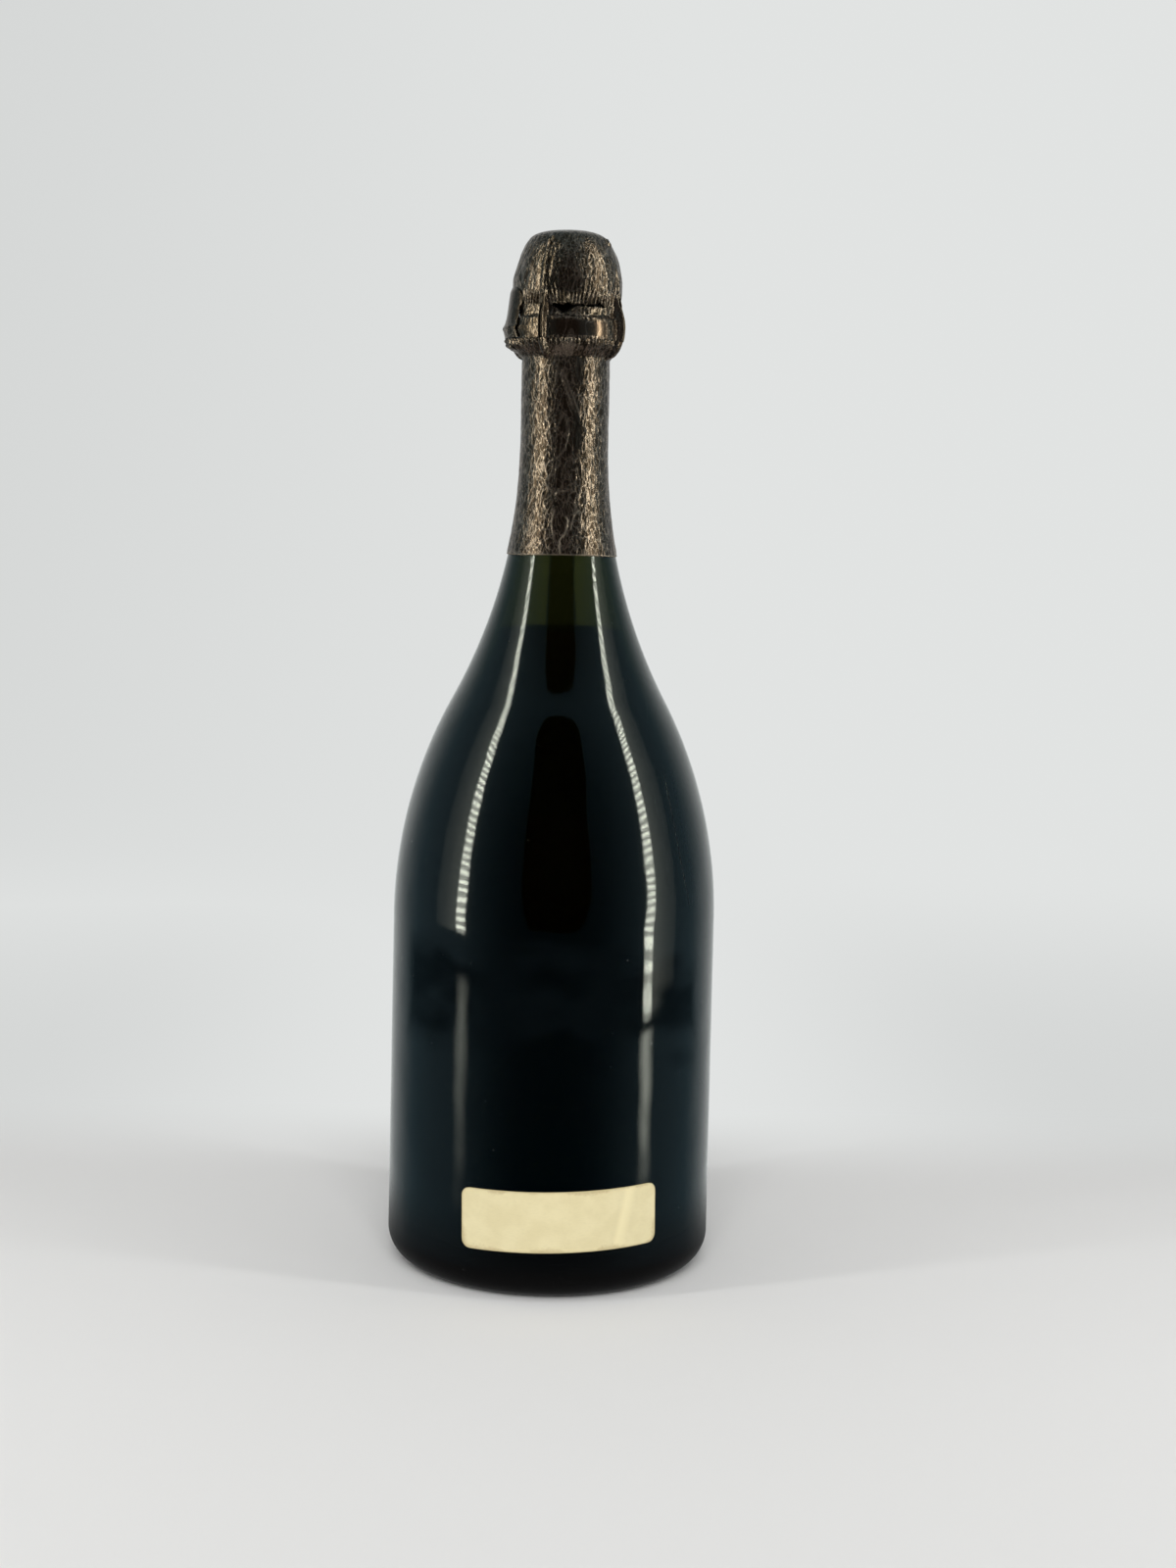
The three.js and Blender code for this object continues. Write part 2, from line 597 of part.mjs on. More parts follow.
// The foil collar round the neck, whose tuck holds the belt, the legs' feet and the eyelet's stub.
function foilCollar() {
  const inner = collarOutline(0);
  const outer = collarOutline(FOIL);
  const [leg, stub] = [legCurve(0), stubCurve()];
  const swelling = (azimuth, height) => {
    const base = radiusAt(inner, height);
    const overLeg = legRidges(azimuth) * (reach(leg, LEG_RADIUS + FOIL_GAP, height) - base);
    const overStub = eyeletRidge(azimuth) * (reach(stub, WIRE_RADIUS + FOIL_GAP, height) - base);
    return Math.max(overLeg, overStub, 0);
  };
  const shell = swell(revolve(shellOutline(outer, inner), CLOSURE_SIDES), swelling);
  return piece("foil_collar", shell, bronzeFoil);
}

// The back label, pasted round the side of the glass.
function backLabel() {
  const margin = LABEL_CORNER;
  const heights = [LABEL_FOOT - margin, LABEL_FOOT + LABEL_HEIGHT + margin];
  const inner = heights.map((height) => point(radiusAt(bottleSide, height) + PASTE, height));
  const outer = inner.map((at) => point(at.x + PAPER, at.y));
  const band = revolve(shellOutline(outer, inner), LABEL_SIDES);
  const outline = plate({
    width: LABEL_WIDTH,
    height: LABEL_HEIGHT,
    low: LABEL_CORNER,
    high: LABEL_CORNER,
    azimuth: LABEL_AZIMUTH,
    foot: LABEL_FOOT,
    tilt: LABEL_TILT,
  });
  const solid = solidOf(band).intersect(solidOf(outline));
  return piece("back_label", geometryOf(solid), paper);
}

// What stays with the glass, what leaves with the cork, what lifts off it, and what folds out.
const cork = new THREE.Group();
cork.add(corkBody(), corkDisc("cork_disc_upper", 1), corkDisc("cork_disc_lower", 0));
const muselet = new THREE.Group();
muselet.add(museletCap(), museletFrame(), museletBelt());
const eyelet = new THREE.Group();
eyelet.add(museletEyelet(), foilTearTab());

const bottle = new THREE.Group();
bottle.add(glassBottle(), wine(), foilCollar(), backLabel(), cork, muselet, eyelet, foilHood());

export default bottle;
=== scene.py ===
"""A sealed champagne bottle: dark glass, wine, cork, muselet, crinkled foil and a bare back label.

Metres, +Z up, the origin at the centre of the base, the label towards -Y. An azimuth runs from -Y towards +X.
"""
import functools
import math
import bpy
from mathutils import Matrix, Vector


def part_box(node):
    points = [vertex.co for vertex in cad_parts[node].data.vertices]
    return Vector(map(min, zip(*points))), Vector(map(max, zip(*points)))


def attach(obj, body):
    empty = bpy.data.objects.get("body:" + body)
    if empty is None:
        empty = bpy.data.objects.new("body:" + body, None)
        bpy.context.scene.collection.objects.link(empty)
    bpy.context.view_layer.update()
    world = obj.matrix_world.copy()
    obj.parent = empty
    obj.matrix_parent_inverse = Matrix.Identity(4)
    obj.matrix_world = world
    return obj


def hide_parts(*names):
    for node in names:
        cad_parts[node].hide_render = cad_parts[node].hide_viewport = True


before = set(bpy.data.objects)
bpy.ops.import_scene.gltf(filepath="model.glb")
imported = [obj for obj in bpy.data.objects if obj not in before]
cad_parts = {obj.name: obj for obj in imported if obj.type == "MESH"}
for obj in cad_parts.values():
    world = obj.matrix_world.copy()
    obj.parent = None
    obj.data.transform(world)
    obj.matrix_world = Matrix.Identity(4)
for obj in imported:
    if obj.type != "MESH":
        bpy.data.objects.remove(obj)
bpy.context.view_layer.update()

from types import SimpleNamespace

import bpy
import numpy as np
from bpy.props import FloatProperty, FloatVectorProperty, IntProperty, PointerProperty
from mathutils import Matrix, Vector

bl_info = {
    "name": "Champagne Bottle",
    "version": (1, 0, 0),
    "blender": (4, 5, 0),
    "location": "View3D > Sidebar > Bottle",
    "description": "Builds a sealed champagne bottle, with what is under its foil, and a small studio",
    "category": "Object",
}

MM = 0.001
TURN = 2 * math.pi

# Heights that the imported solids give
LIP_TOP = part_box("glass_bottle")[1].z
WINE_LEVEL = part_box("wine")[1].z
CORK_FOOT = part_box("cork_disc_lower")[0].z
CORK_HEAD_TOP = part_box("cork_body")[1].z
CAP_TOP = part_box("muselet_cap")[1].z
HOOD_RIM, HOOD_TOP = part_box("foil_hood")[0].z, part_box("foil_hood")[1].z
COLLAR_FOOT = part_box("foil_collar")[0].z
TAB_FOOT, TAB_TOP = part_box("foil_tear_tab")[0].z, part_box("foil_tear_tab")[1].z

# For each piece the body that it rides on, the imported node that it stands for, and its slot
PIECES = {
    "bottle_glass": ("bottle", "glass_bottle", "green_glass"),
    "bottle_wine": ("bottle", "wine", "wine"),
    "stopper_body": ("cork", "cork_body", "agglomerate_cork"),
    "stopper_disc_lower": ("cork", "cork_disc_lower", "natural_cork"),
    "stopper_disc_upper": ("cork", "cork_disc_upper", "natural_cork"),
    "cage_cap": ("muselet", "muselet_cap", "tinplate"),
    "cage_frame": ("muselet", "muselet_frame", "steel_wire"),
    "cage_belt": ("muselet", "muselet_belt", "steel_wire"),
    "cage_eyelet": ("eyelet", "muselet_eyelet", "steel_wire"),
    "hood_foil": ("hood", "foil_hood", "bronze_foil"),
    "collar_foil": ("bottle", "foil_collar", "bronze_foil"),
    "tear_tab_foil": ("eyelet", "foil_tear_tab", "bronze_foil"),
    "back_label_paper": ("bottle", "back_label", "label_paper"),
}

# Columns and rows of the surfaces
ROUND = 170
CORK_COLUMNS = CAP_COLUMNS = 180
DISC_COLUMNS = 120
HOOP_COLUMNS = 160
HOOD_COLUMNS = 480
COLLAR_COLUMNS, COLLAR_ROWS = 420, 116
TAB_COLUMNS, TAB_ROWS = 90, 100
LABEL_COLUMNS, LABEL_ROWS = 200, 80

# Glass that no one would change by itself
PUNT_DEPTH = 34 * MM
PUNT_RADIUS = 35.5 * MM
PUNT_TIP = 16 * MM
PUNT_STEEP = 24.9 * MM
PUNT_RISE = 17 * MM
HEEL = 9 * MM
INNER_HEEL = 6 * MM
BASE_WALL = 9 * MM
RING_HEIGHT = 6.5 * MM
RING_EDGE = 1.6 * MM
LIP_HEIGHT = 3.3 * MM
LIP_EDGE = 1.3 * MM
RING_TOP = LIP_TOP - LIP_HEIGHT
RING_FOOT = RING_TOP - RING_HEIGHT
WINE_GAP = 0.08 * MM
MENISCUS = 0.9 * MM
SCRATCH_LEAN = 0.22
SCRATCH_FOOT = 62.5 * MM
SCRATCH_WIDTH = 0.12 * MM
SCRATCH_LOW, SCRATCH_HIGH = 108 * MM, 150 * MM

# Cork and muselet
CORK_CLEARANCE = 0.1 * MM
SEAT_GAP = 0.2 * MM
GLUE_LINE = 0.05 * MM
DISC_CHAMFER = 0.25 * MM
HEAD_FOOT = LIP_TOP + SEAT_GAP
HEAD_FOOT_RADIUS = 12.6 * MM
HEAD_TOP_RADIUS = 10.2 * MM
HEAD_BULGE = 4.5 * MM
HEAD_SIDE = 2 * MM
HEAD_SHOULDER = 4.4 * MM
HEAD_WIDEST = HEAD_FOOT + HEAD_BULGE + HEAD_SIDE
HEAD_SKIN = 0.12 * MM
GROOVE_DEPTH = 0.95 * MM
GROOVE_WIDTH = 1.5 * MM
LEG_COUNT = 4
LEG_AZIMUTH = math.radians(-25)
LEG_BITE = 0.55 * MM
LEG_GAP = 0.15 * MM
LEG_TURNS = 11
LEG_STRAIGHT = 2.4 * MM
LEG_TURN_IN = 0.9 * MM
CAP_SHEET = 0.3 * MM
CAP_RIM = CORK_HEAD_TOP + SEAT_GAP + 0.4 * MM
CAP_RIM_ROUND = 0.3 * MM
CAP_SKIRT = 0.7 * MM
CAP_DOME = 8.4 * MM
CAP_DOME_SINK = 0.2 * MM
CAP_RING_HEIGHT = 0.18 * MM
CAP_RING_WIDTH = 0.4 * MM
CAP_NOTCH_DEPTH = 0.35 * MM
CAP_NOTCH_WIDTH = 1.1 * MM
CROWN_RADIUS = 9.4 * MM
BELT_GAP = 0.5 * MM
BELT_DROP = 1.8 * MM
FOOT_GAP = 0.25 * MM
EYELET_AZIMUTH = math.radians(-78)
EYELET_WIDTH = 9.2 * MM
EYELET_HEIGHT = 10 * MM
EYELET_STEM = 3.4 * MM
EYELET_LEAN = 1.25 * MM
EYELET_STAND_OFF = 0.6 * MM
EYELET_FOOT = TAB_FOOT + 0.3 * MM
STEM_RADIUS = 0.6 * MM
STEM_TURNS = 3
STUB_GAP = 0.35 * MM

# Foil
FOIL_SHEET = 0.12 * MM
FOIL_GAP = 0.2 * MM
BAND_RADIUS = 16.25 * MM
BAND_BELLY = 0.12 * MM
BAND_EDGE = 0.4 * MM
BAND_ROUND = 1.3 * MM
BAND_TOP = 274.2 * MM
WAIST_RADIUS = 14.8 * MM
WAIST = 276 * MM
FOLD = 279 * MM
FOLD_RADIUS = 15.2 * MM
ROPE_TOP = FOLD + 2 * MM
DOME_RADIUS = 15.55 * MM
DOME_LOW, DOME_HIGH = 283.4 * MM, 285.6 * MM
DOME_CORNER = (14.9 * MM, 293 * MM)
CAP_EDGE_RADIUS = 10.8 * MM
CAP_EDGE = 297.65 * MM
TOP_FLAT = 8.5 * MM
TOP_BLEND = 6 * MM
HOOD_LAP = 0.45 * MM
TUCK_FOOT = 263.1 * MM
TUCK_BEND = 264.8 * MM
TUCK_CORNER = (14.9 * MM, 265.2 * MM)
TUCK_LAP = 0.3 * MM
TUCK_BLEND = 1.6 * MM
HOOD_PLEATS, COLLAR_PLEATS = 84, 76
HOOD_CELLS, COLLAR_CELLS = 16, 30

# Relief of the foil
LEG_CLEARANCE = 0.08 * MM
STUB_CLEARANCE = 0.35 * MM
EYELET_CLEARANCE = 1.35 * MM
COVER_GAP = 0.1 * MM
SWELLING_WIDTH = 0.52
RIDGE_WIDTH, FOOT_RIDGE_WIDTH = 0.95 * MM, 1.1 * MM
RIDGE_BLEND = 0.4 * MM
STRAND_GROOVE = 0.3 * MM
ROPE_DEPTH, CORD_DEPTH = 0.38 * MM, 0.16 * MM
CREVICE_DEPTH = 0.7 * MM
SAG_HEIGHT, SAG_REACH, SAG_DEPTH = 291.5 * MM, 4 * MM, 0.7 * MM
DENT_DEPTH, TOP_DENT_DEPTH = 0.6 * MM, 0.25 * MM
HOOD_PLEAT_DEPTH, COLLAR_PLEAT_DEPTH = 0.26 * MM, 0.14 * MM
TUCK_CREASE, TUCK_CREASE_DEPTH = 0.4 * MM, 0.12 * MM
DEEPEST_CREASE = 0.16 * MM
CUT_WAVE = 0.12 * MM
CUT_EDGE = 0.5 * MM
DRAWN_LOW, DRAWN_HIGH = 234 * MM, 240 * MM
CRACK_WIDTH, CRACK_DEPTH = 0.25 * MM, 0.14 * MM
CRACKS = (
    (1, ((-0.6, 208), (-0.7, 211.9), (0.6, 213.8), (1.4, 217.2), (1.1, 218.5))),
    (0.8, ((2.3, 215), (3, 218.3), (4.4, 220.8))),
    (0.7, ((-2.4, 212.4), (-3.1, 216.5), (-2.3, 220.7))),
    (0.8, ((-1.9, 225.4), (0.1, 226), (2.3, 226.3))),
    (0.6, ((-0.1, 248.2), (1.1, 242.8), (0.4, 238.7), (-1.5, 235.6), (-4.4, 233.9), (-6.8, 233.3))),
    (0.7, ((-1, 260.2), (4.4, 247))),
    (0.5, ((-2.6, 261.3), (2.9, 248.3))),
    (0.55, ((-1.5, 258.9), (1.8, 250.2))),
)

# Azimuth and width of marks round the foil, as bells: the sag and the pinch are measured from the eyelet
LENS = (-0.04, 0.16)
LOOP = (0.64, 0.09)
# LOOP_SHADE, DOME_SHADE, WAIST_SHADE and TUCK_SHADE place painted shade in the foil's colour
LOOP_SHADE = (0.6, 0.22)
DOME_SHADE = (-0.3, 0.4)
WAIST_SHADE = (-0.75, 0.2)
TUCK_SHADE = (0, 0.5)
DRAWN = (0.3, 0.14)
SAG = (0, 0.75)
PINCH = (0, 0.34)
PALE_FLANK_LEG = (LEG_AZIMUTH + TURN / LEG_COUNT, 0.15)

# Tear tab
TAB_WIDTH = 13 * MM
TAB_CORNER = 4 * MM
TAB_LAP = 0.35 * MM
TAB_FALL = 0.75 * MM
TAB_PRESS = 0.15 * MM
TAB_RAGGED = 0.9 * MM
TAB_SMOOTH_LOW, TAB_SMOOTH_HIGH = 271 * MM, 275 * MM
TAB_SIDE = np.array([
    (17.7, 268), (17.8, 269.3), (18.1, 270.6), (18.45, 271.8), (17.85, 273.1),
    (17.35, 275.4), (16.8, 279.6), (16.45, 282), (16.05, 283), (15.8, 283.7),
]) * MM

# Label
PAPER_SHEET = 0.12 * MM
PASTE = 0.1 * MM
PAPER_LIFT = 0.05 * MM
PAPER_RAGGED = 0.1 * MM
FOLD_SLANT = 0.25

# Studio
LAMP_SPACING = 0.016
LAMP_CENTRE = 0.523
STRIP_TOP = 0.95
STRIP_HALF_WIDTH = 0.2
SHADOW_RADIUS = 0.12
STRIPS = (
    {"name": "left_strip", "place": (-0.402, -0.202), "low": 0.038, "haze": 1.7, "lean": 0},
    {"name": "right_strip", "place": (0.416, -0.17), "low": 0.0, "haze": 4.2, "lean": -0.035},
)


# Settings


def length_setting(name, description, millimetres):
    """A size that a user may change."""
    return FloatProperty(name=name, description=description, default=millimetres * MM, unit="LENGTH")


def angle_setting(name, description, degrees):
    """An angle that a user may change."""
    return FloatProperty(name=name, description=description, default=math.radians(degrees), subtype="ANGLE")


def colour_setting(name, description, colour):
    """A colour that a user may change."""
    return FloatVectorProperty(name=name, description=description, default=colour, subtype="COLOR")


def number_setting(name, description, number, unit="NONE"):
    """A number that a user may change."""
    return FloatProperty(name=name, description=description, default=number, unit=unit)


class GlassSettings(bpy.types.PropertyGroup):
    """Sizes and tint of the glass."""

    foot_radius: length_setting("Foot radius", "Where the bottle is widest", 47.5)
    body_radius: length_setting("Body radius", "Where the straight side ends", 47.15)
    shoulder_start: length_setting("Shoulder start", "Height of the straight side", 102)
    shoulder_rise: length_setting("Shoulder rise", "Height of the S of the shoulder", 138)
    shoulder_radius: length_setting("Shoulder arc", "Radius of its convex arc", 135)
    neck_radius: length_setting("Neck radius", "Outside of the neck", 12.3)
    mouth_radius: length_setting("Mouth radius", "Inside of the mouth", 8.9)
    ring_radius: length_setting("Ring radius", "Ring under the lip", 15.9)
    lip_radius: length_setting("Lip radius", "Lip above the ring", 13.9)
    side_wall: length_setting("Wall", "Thickness of the side", 5)
    tint: colour_setting("Tint", "Colour that passes the glass", (0.342, 0.367, 0.063))
    density: number_setting("Density", "Absorption for each metre of glass", 760)


class WineSettings(bpy.types.PropertyGroup):
    """Tint of the wine."""

    tint: colour_setting("Tint", "Colour that passes the wine", (0.75, 0.42, 0.1))
    density: number_setting("Density", "Absorption for each metre of wine", 150)


class CorkSettings(bpy.types.PropertyGroup):
    """Sizes and colours of the cork."""

    head_radius: length_setting("Head radius", "Mushroom head", 15)
    disc: length_setting("Disc", "Thickness of a natural disc", 5.5)
    pale: colour_setting("Pale cork", "Lightest granules", (0.56, 0.34, 0.16))
    dark: colour_setting("Dark cork", "Darkest granules", (0.2, 0.1, 0.04))


class MuseletSettings(bpy.types.PropertyGroup):
    """Sizes and colours of the wire cage and its cap."""

    wire_radius: length_setting("Wire radius", "Single wire", 0.5)
    leg_radius: length_setting("Leg radius", "Two wires twisted together", 0.75)
    cap_radius: length_setting("Cap radius", "Pressed metal cap", 10.8)
    zinc: colour_setting("Zinc", "Galvanised wire", (0.5, 0.5, 0.48))
    lacquer: colour_setting("Lacquer", "Lacquer of the cap", (0.2, 0.16, 0.09))


class FoilSettings(bpy.types.PropertyGroup):
    """Crinkles and colours of the foil."""

    crinkle: length_setting("Crinkle", "Height of the foil's creases", 0.24)
    seed: IntProperty(name="Seed", description="Start of the random creases", default=11)
    bronze: colour_setting("Bronze", "Foil in good order", (0.102, 0.0655, 0.045))
    # tarnish_and_painted_shade is the patina in the foil's creases, and also the colour of painted shade
    # there and between its wrinkles
    tarnish_and_painted_shade: colour_setting("Tarnish", "Foil in its hollows", (0.055, 0.038, 0.024))
    # rubbed is also the colour of the painted highlight along the wrinkles' crests
    rubbed: colour_setting("Rubbed", "Foil worn to bare metal", (0.44, 0.335, 0.265))


class LabelSettings(bpy.types.PropertyGroup):
    """Size, place and colour of the back label."""

    width: length_setting("Width", "Straight across", 54.6)
    height: length_setting("Height", "From edge to edge", 17.4)
    foot: length_setting("Foot", "Height of its lower edge", 14.8)
    azimuth: angle_setting("Azimuth", "Middle of the label", 4.6)
    tilt: angle_setting("Tilt", "Right end up", 1.2)
    corner: length_setting("Corner", "Radius of its corners", 2.6)
    cream: colour_setting("Cream", "Aged paper", (0.78, 0.69, 0.42))
    stain: colour_setting("Stain", "Damp along its edges", (0.5, 0.4, 0.2))


class StageSettings(bpy.types.PropertyGroup):
    """The studio and the camera."""

    floor: colour_setting("Floor", "Pale floor", (0.78, 0.78, 0.77))
    backdrop: colour_setting("Backdrop", "Pale background", (0.755, 0.77, 0.763))
    strip_power: number_setting("Strips", "Power of each light strip", 0.9, "POWER")
    front_power: number_setting("Front", "Power of the soft light in front", 26, "POWER")
    ambient: number_setting("Ambient", "Soft light from all round", 0.44)
    camera_distance: length_setting("Distance", "Camera to the axis", 649)
    camera_height: length_setting("Height", "Camera above the floor", 212.3)
    camera_pitch: angle_setting("Pitch", "Downwards", 6.254)
    camera_yaw: angle_setting("Yaw", "To the right", 0.806)
    camera_roll: angle_setting("Roll", "Anticlockwise, as a turn of the camera", 1.33)
    lens: number_setting("Lens", "Focal length in millimetres", 51.08)


# Curves and surfaces


def arc(centre, radius, start, end, count):
    """Points on a circle, at even steps of angle from start to end."""
    angle = np.linspace(start, end, count)
    return np.column_stack([centre[0] + radius * np.cos(angle), centre[1] + radius * np.sin(angle)])


def bend(*corners, count=24):
    """A Bezier curve: neighbouring corners are blended by the same share until one point is left."""
    share = np.linspace(0, 1, count)[:, None]
    level = [np.array(corner, float)[None, :] for corner in corners]
    while len(level) > 1:
        level = [(1 - share) * a + share * b for a, b in zip(level, level[1:])]
    return level[0]


def smooth_route(points, count):
    """A Catmull-Rom curve: cubic stretches through the points, each end's tangent half the way between
    its neighbours."""
    points = np.array(points, float)
    padded = np.concatenate([2 * points[:1] - points[1:2], points, 2 * points[-1:] - points[-2:-1]])
    at = np.linspace(0, len(points) - 1, count)
    first = np.minimum(at.astype(int), len(points) - 2)
    t = (at - first)[:, None]
    a, b, c, d = (padded[first + k] for k in range(4))
    cubic = (3 * b - a - 3 * c + d) * t**3 + (2 * a - 5 * b + 4 * c - d) * t**2 + (c - a) * t
    return b + cubic / 2


def run(*stretches):
    """Stretches of an outline end to end, with points that repeat taken out."""
    points = np.concatenate([np.atleast_2d(stretch) for stretch in stretches])
    moved = np.linalg.norm(np.diff(points, axis=0), axis=1) > 1e-7
    return points[np.concatenate([[True], moved])]


def along(outline):
    """The share of an outline's length at each of its points."""
    lengths = np.concatenate([[0], np.cumsum(np.linalg.norm(np.diff(outline, axis=0), axis=1))])
    return lengths / lengths[-1]


def even(outline, count):
    """The same outline with points at even steps along it."""
    at = np.linspace(0, 1, count)
    return np.column_stack([np.interp(at, along(outline), outline[:, k]) for k in range(2)])


def radius_at(outline, height):
    """The radius of an outline that climbs, at each height."""
    return np.interp(height, outline[:, 1], outline[:, 0])


def polar(radius, azimuth, height):
    """Places at a radius, an azimuth and a height: out along (sin, -cos) of the azimuth."""
    return np.stack(np.broadcast_arrays(radius * np.sin(azimuth), -radius * np.cos(azimuth), height), -1)


def azimuths(columns):
    """Even azimuths once round."""
    return np.arange(columns) * TURN / columns


def crowded(columns, share):
    """Azimuths once round that crowd at the legs: even ones less a sine that repeats from leg to leg."""
    plain = azimuths(columns)
    return plain - share / LEG_COUNT * np.sin(LEG_COUNT * (plain - LEG_AZIMUTH))


def step(value, low, high):
    """Climbs smoothly from 0 at low to 1 at high: three squares less two cubes of the share."""
    share = np.clip((value - low) / (high - low), 0, 1)
    return share * share * (3 - 2 * share)


def between(value, start, risen, falling, end):
    """A plateau: a smooth step up from start to risen, times 1 less a smooth step from falling to end."""
    return step(value, start, risen) * (1 - step(value, falling, end))


def hill(value, centre, width):
    """A bell: e to the minus square of the distance from its centre over its width."""
    return np.exp(-(((value - centre) / width) ** 2))


def apart(azimuth, centre):
    """The signed angle from a centre, the short way round."""
    return np.angle(np.exp(1j * (azimuth - centre)))


def noise(turn, rise, cells, seed):
    """Smooth noise from 0 to 1: random heights on a grid of cells, blended by smooth steps. It wraps
    in turn, which runs from 0 to 1 once round, as rise does along the outline."""
    across, up = cells
    heights = np.random.default_rng(seed).random((up + 2, across))
    x, y = np.broadcast_arrays(turn * across, np.clip(rise, 0, 1) * up)
    i, j = np.floor(x).astype(int), np.floor(y).astype(int)
    right, over = step(x - i, 0, 1), step(y - j, 0, 1)
    low = heights[j, i % across] * (1 - right) + heights[j, (i + 1) % across] * right
    high = heights[j + 1, i % across] * (1 - right) + heights[j + 1, (i + 1) % across] * right
    return low * (1 - over) + high * over


def creases(turn, rise, cells, lean, seed):
    """Sharp creases from -1 to 1: noise folded at its middle, on cells that lean to one side, with a
    slow noise that makes their lines wander."""
    wander = noise(turn, rise, (max(4, cells[0] // 6), max(2, cells[1] // 2)), seed + 1)
    sheared = turn + lean * rise + (wander - 0.5) * 2.5 / cells[0]
    return 1 - 2 * np.abs(2 * noise(sheared, rise, cells, seed) - 1)


def grid_faces(rows, columns, wrap_rows=False, wrap_columns=True):
    """Four corners of each face of a grid of points: along a row, then up to the next."""
    i = np.arange(rows if wrap_rows else rows - 1)[:, None]
    j = np.arange(columns if wrap_columns else columns - 1)[None, :]
    i_next, j_next = (i + 1) % rows, (j + 1) % columns
    corners = [i * columns + j, i * columns + j_next, i_next * columns + j_next, i_next * columns + j]
    return np.stack(np.broadcast_arrays(*corners), -1).reshape(-1, 4)


def fan(centre, ring, turned):
    """Triangles from a centre point to a closed ring of points."""
    after = np.roll(ring, -1)
    pair = (after, ring) if turned else (ring, after)
    return np.column_stack([np.full(len(ring), centre), *pair])


def turned(outline, columns, push=None):
    """A surface of revolution as points, fours and threes: each point of the outline goes round the
    axis, pushed outwards by push(azimuth, height). An end on the axis closes to one point."""
    azimuth = azimuths(columns)[None, :]
    radius, height = outline[:, :1], outline[:, 1:]
    pushed = radius if push is None else radius + push(azimuth, height) * (radius > 0)
    grid = polar(pushed, azimuth, height)
    rows = len(outline)
    points, fours = grid.reshape(-1, 3), grid_faces(rows, columns)
    threes = np.zeros((0, 3), int)
    if outline[0, 0] == 0:
        fours = fours[columns:]
        threes = np.concatenate([threes, fan(0, columns + np.arange(columns), True)])
    if outline[-1, 0] == 0:
        fours = fours[:-columns]
        last = (rows - 1) * columns
        threes = np.concatenate([threes, fan(last, last - columns + np.arange(columns), False)])
    return points, fours, threes


def square_to(path, beside, closed=False):
    """Two directions at each point of a path, square to it and to each other, the first also square to
    the direction beside."""
    forward = np.roll(path, -1, 0) - np.roll(path, 1, 0) if closed else np.gradient(path, axis=0)
    forward /= np.linalg.norm(forward, axis=1, keepdims=True)
    across = np.cross(np.broadcast_to(beside, path.shape), forward)
    across /= np.linalg.norm(across, axis=1, keepdims=True)
    return across, np.cross(forward, across)


def tube(path, beside, radius, sides=10, closed=False):
    """A round bar along a path: a circle square to the path at each point, set out from the direction
    beside it. An open one is closed by a point at each end."""
    across, up = square_to(path, beside, closed)
    angle = azimuths(sides)[None, :, None]
    grid = path[:, None] + radius * (np.cos(angle) * across[:, None] + np.sin(angle) * up[:, None])
    points, rows = grid.reshape(-1, 3), len(path)
    fours, threes = grid_faces(rows, sides, wrap_rows=closed), np.zeros((0, 3), int)
    if not closed:
        points = np.concatenate([points, path[:1], path[-1:]])
        ring = np.arange(sides)
        first = fan(rows * sides, ring, True)
        threes = np.concatenate([first, fan(rows * sides + 1, (rows - 1) * sides + ring, False)])
    return points, fours, threes


def twisted(path, beside, reach_out, turns, sides=8):
    """Two bars twisted together along a path: each follows a helix of half their joint radius."""
    across, up = square_to(path, beside)
    angle = np.linspace(0, turns * TURN, len(path))[:, None]
    half = reach_out / 2
    offset = half * (np.cos(angle) * across + np.sin(angle) * up)
    return [tube(path + sign * offset, beside, half, sides) for sign in (1, -1)]


def joined(shapes):
    """Several shapes as one list of points and faces."""
    starts = np.cumsum([0] + [len(shape[0]) for shape in shapes[:-1]])
    return tuple(
        np.concatenate([shape[k] + (start if k else 0) for shape, start in zip(shapes, starts)])
        for k in range(3)
    )


def kept(shape, keep):
    """The shape with only the four-cornered faces that are kept, and no loose points."""
    points, fours, threes = shape
    fours = fours[keep]
    used = np.unique(np.concatenate([fours.ravel(), threes.ravel()]))
    place = np.zeros(len(points), int)
    place[used] = np.arange(len(used))
    return (points[used], place[fours], place[threes]), used


def make_piece(name, shape, materials, values=None):
    """A mesh object from points and faces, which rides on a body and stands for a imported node."""
    body, node, slot = PIECES[name]
    points, fours, threes = shape
    mesh = bpy.data.meshes.new(name)
    corners = np.concatenate([fours.ravel(), threes.ravel()])
    counts = np.concatenate([np.full(len(fours), 4), np.full(len(threes), 3)])
    starts = np.concatenate([[0], np.cumsum(counts)[:-1]])
    mesh.vertices.add(len(points))
    mesh.vertices.foreach_set("co", points.astype(np.float32).ravel())
    mesh.loops.add(len(corners))
    mesh.loops.foreach_set("vertex_index", corners.astype(np.int32))
    mesh.polygons.add(len(counts))
    mesh.polygons.foreach_set("loop_start", starts.astype(np.int32))
    mesh.polygons.foreach_set("use_smooth", np.ones(len(counts), bool))
    mesh.update(calc_edges=True)
    if mesh.validate():
        raise RuntimeError(f"{name} has faces that don't hold together")
    for key, value in (values or {}).items():
        mesh.attributes.new(key, "FLOAT", "POINT").data.foreach_set("value", value.astype(np.float32))
    for material in materials:
        mesh.materials.append(material)
    piece = bpy.data.objects.new(name, mesh)
    bpy.context.scene.collection.objects.link(piece)
    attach(piece, body)
    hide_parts(node)
    return piece


def thicken(piece, thickness):
    """Gives a sheet its thickness inwards, with the second material on its inner side."""
    wall = piece.modifiers.new("Sheet", "SOLIDIFY")
    wall.thickness = thickness
    wall.offset = -1
    wall.material_offset = len(piece.data.materials) - 1
    wall.material_offset_rim = 0


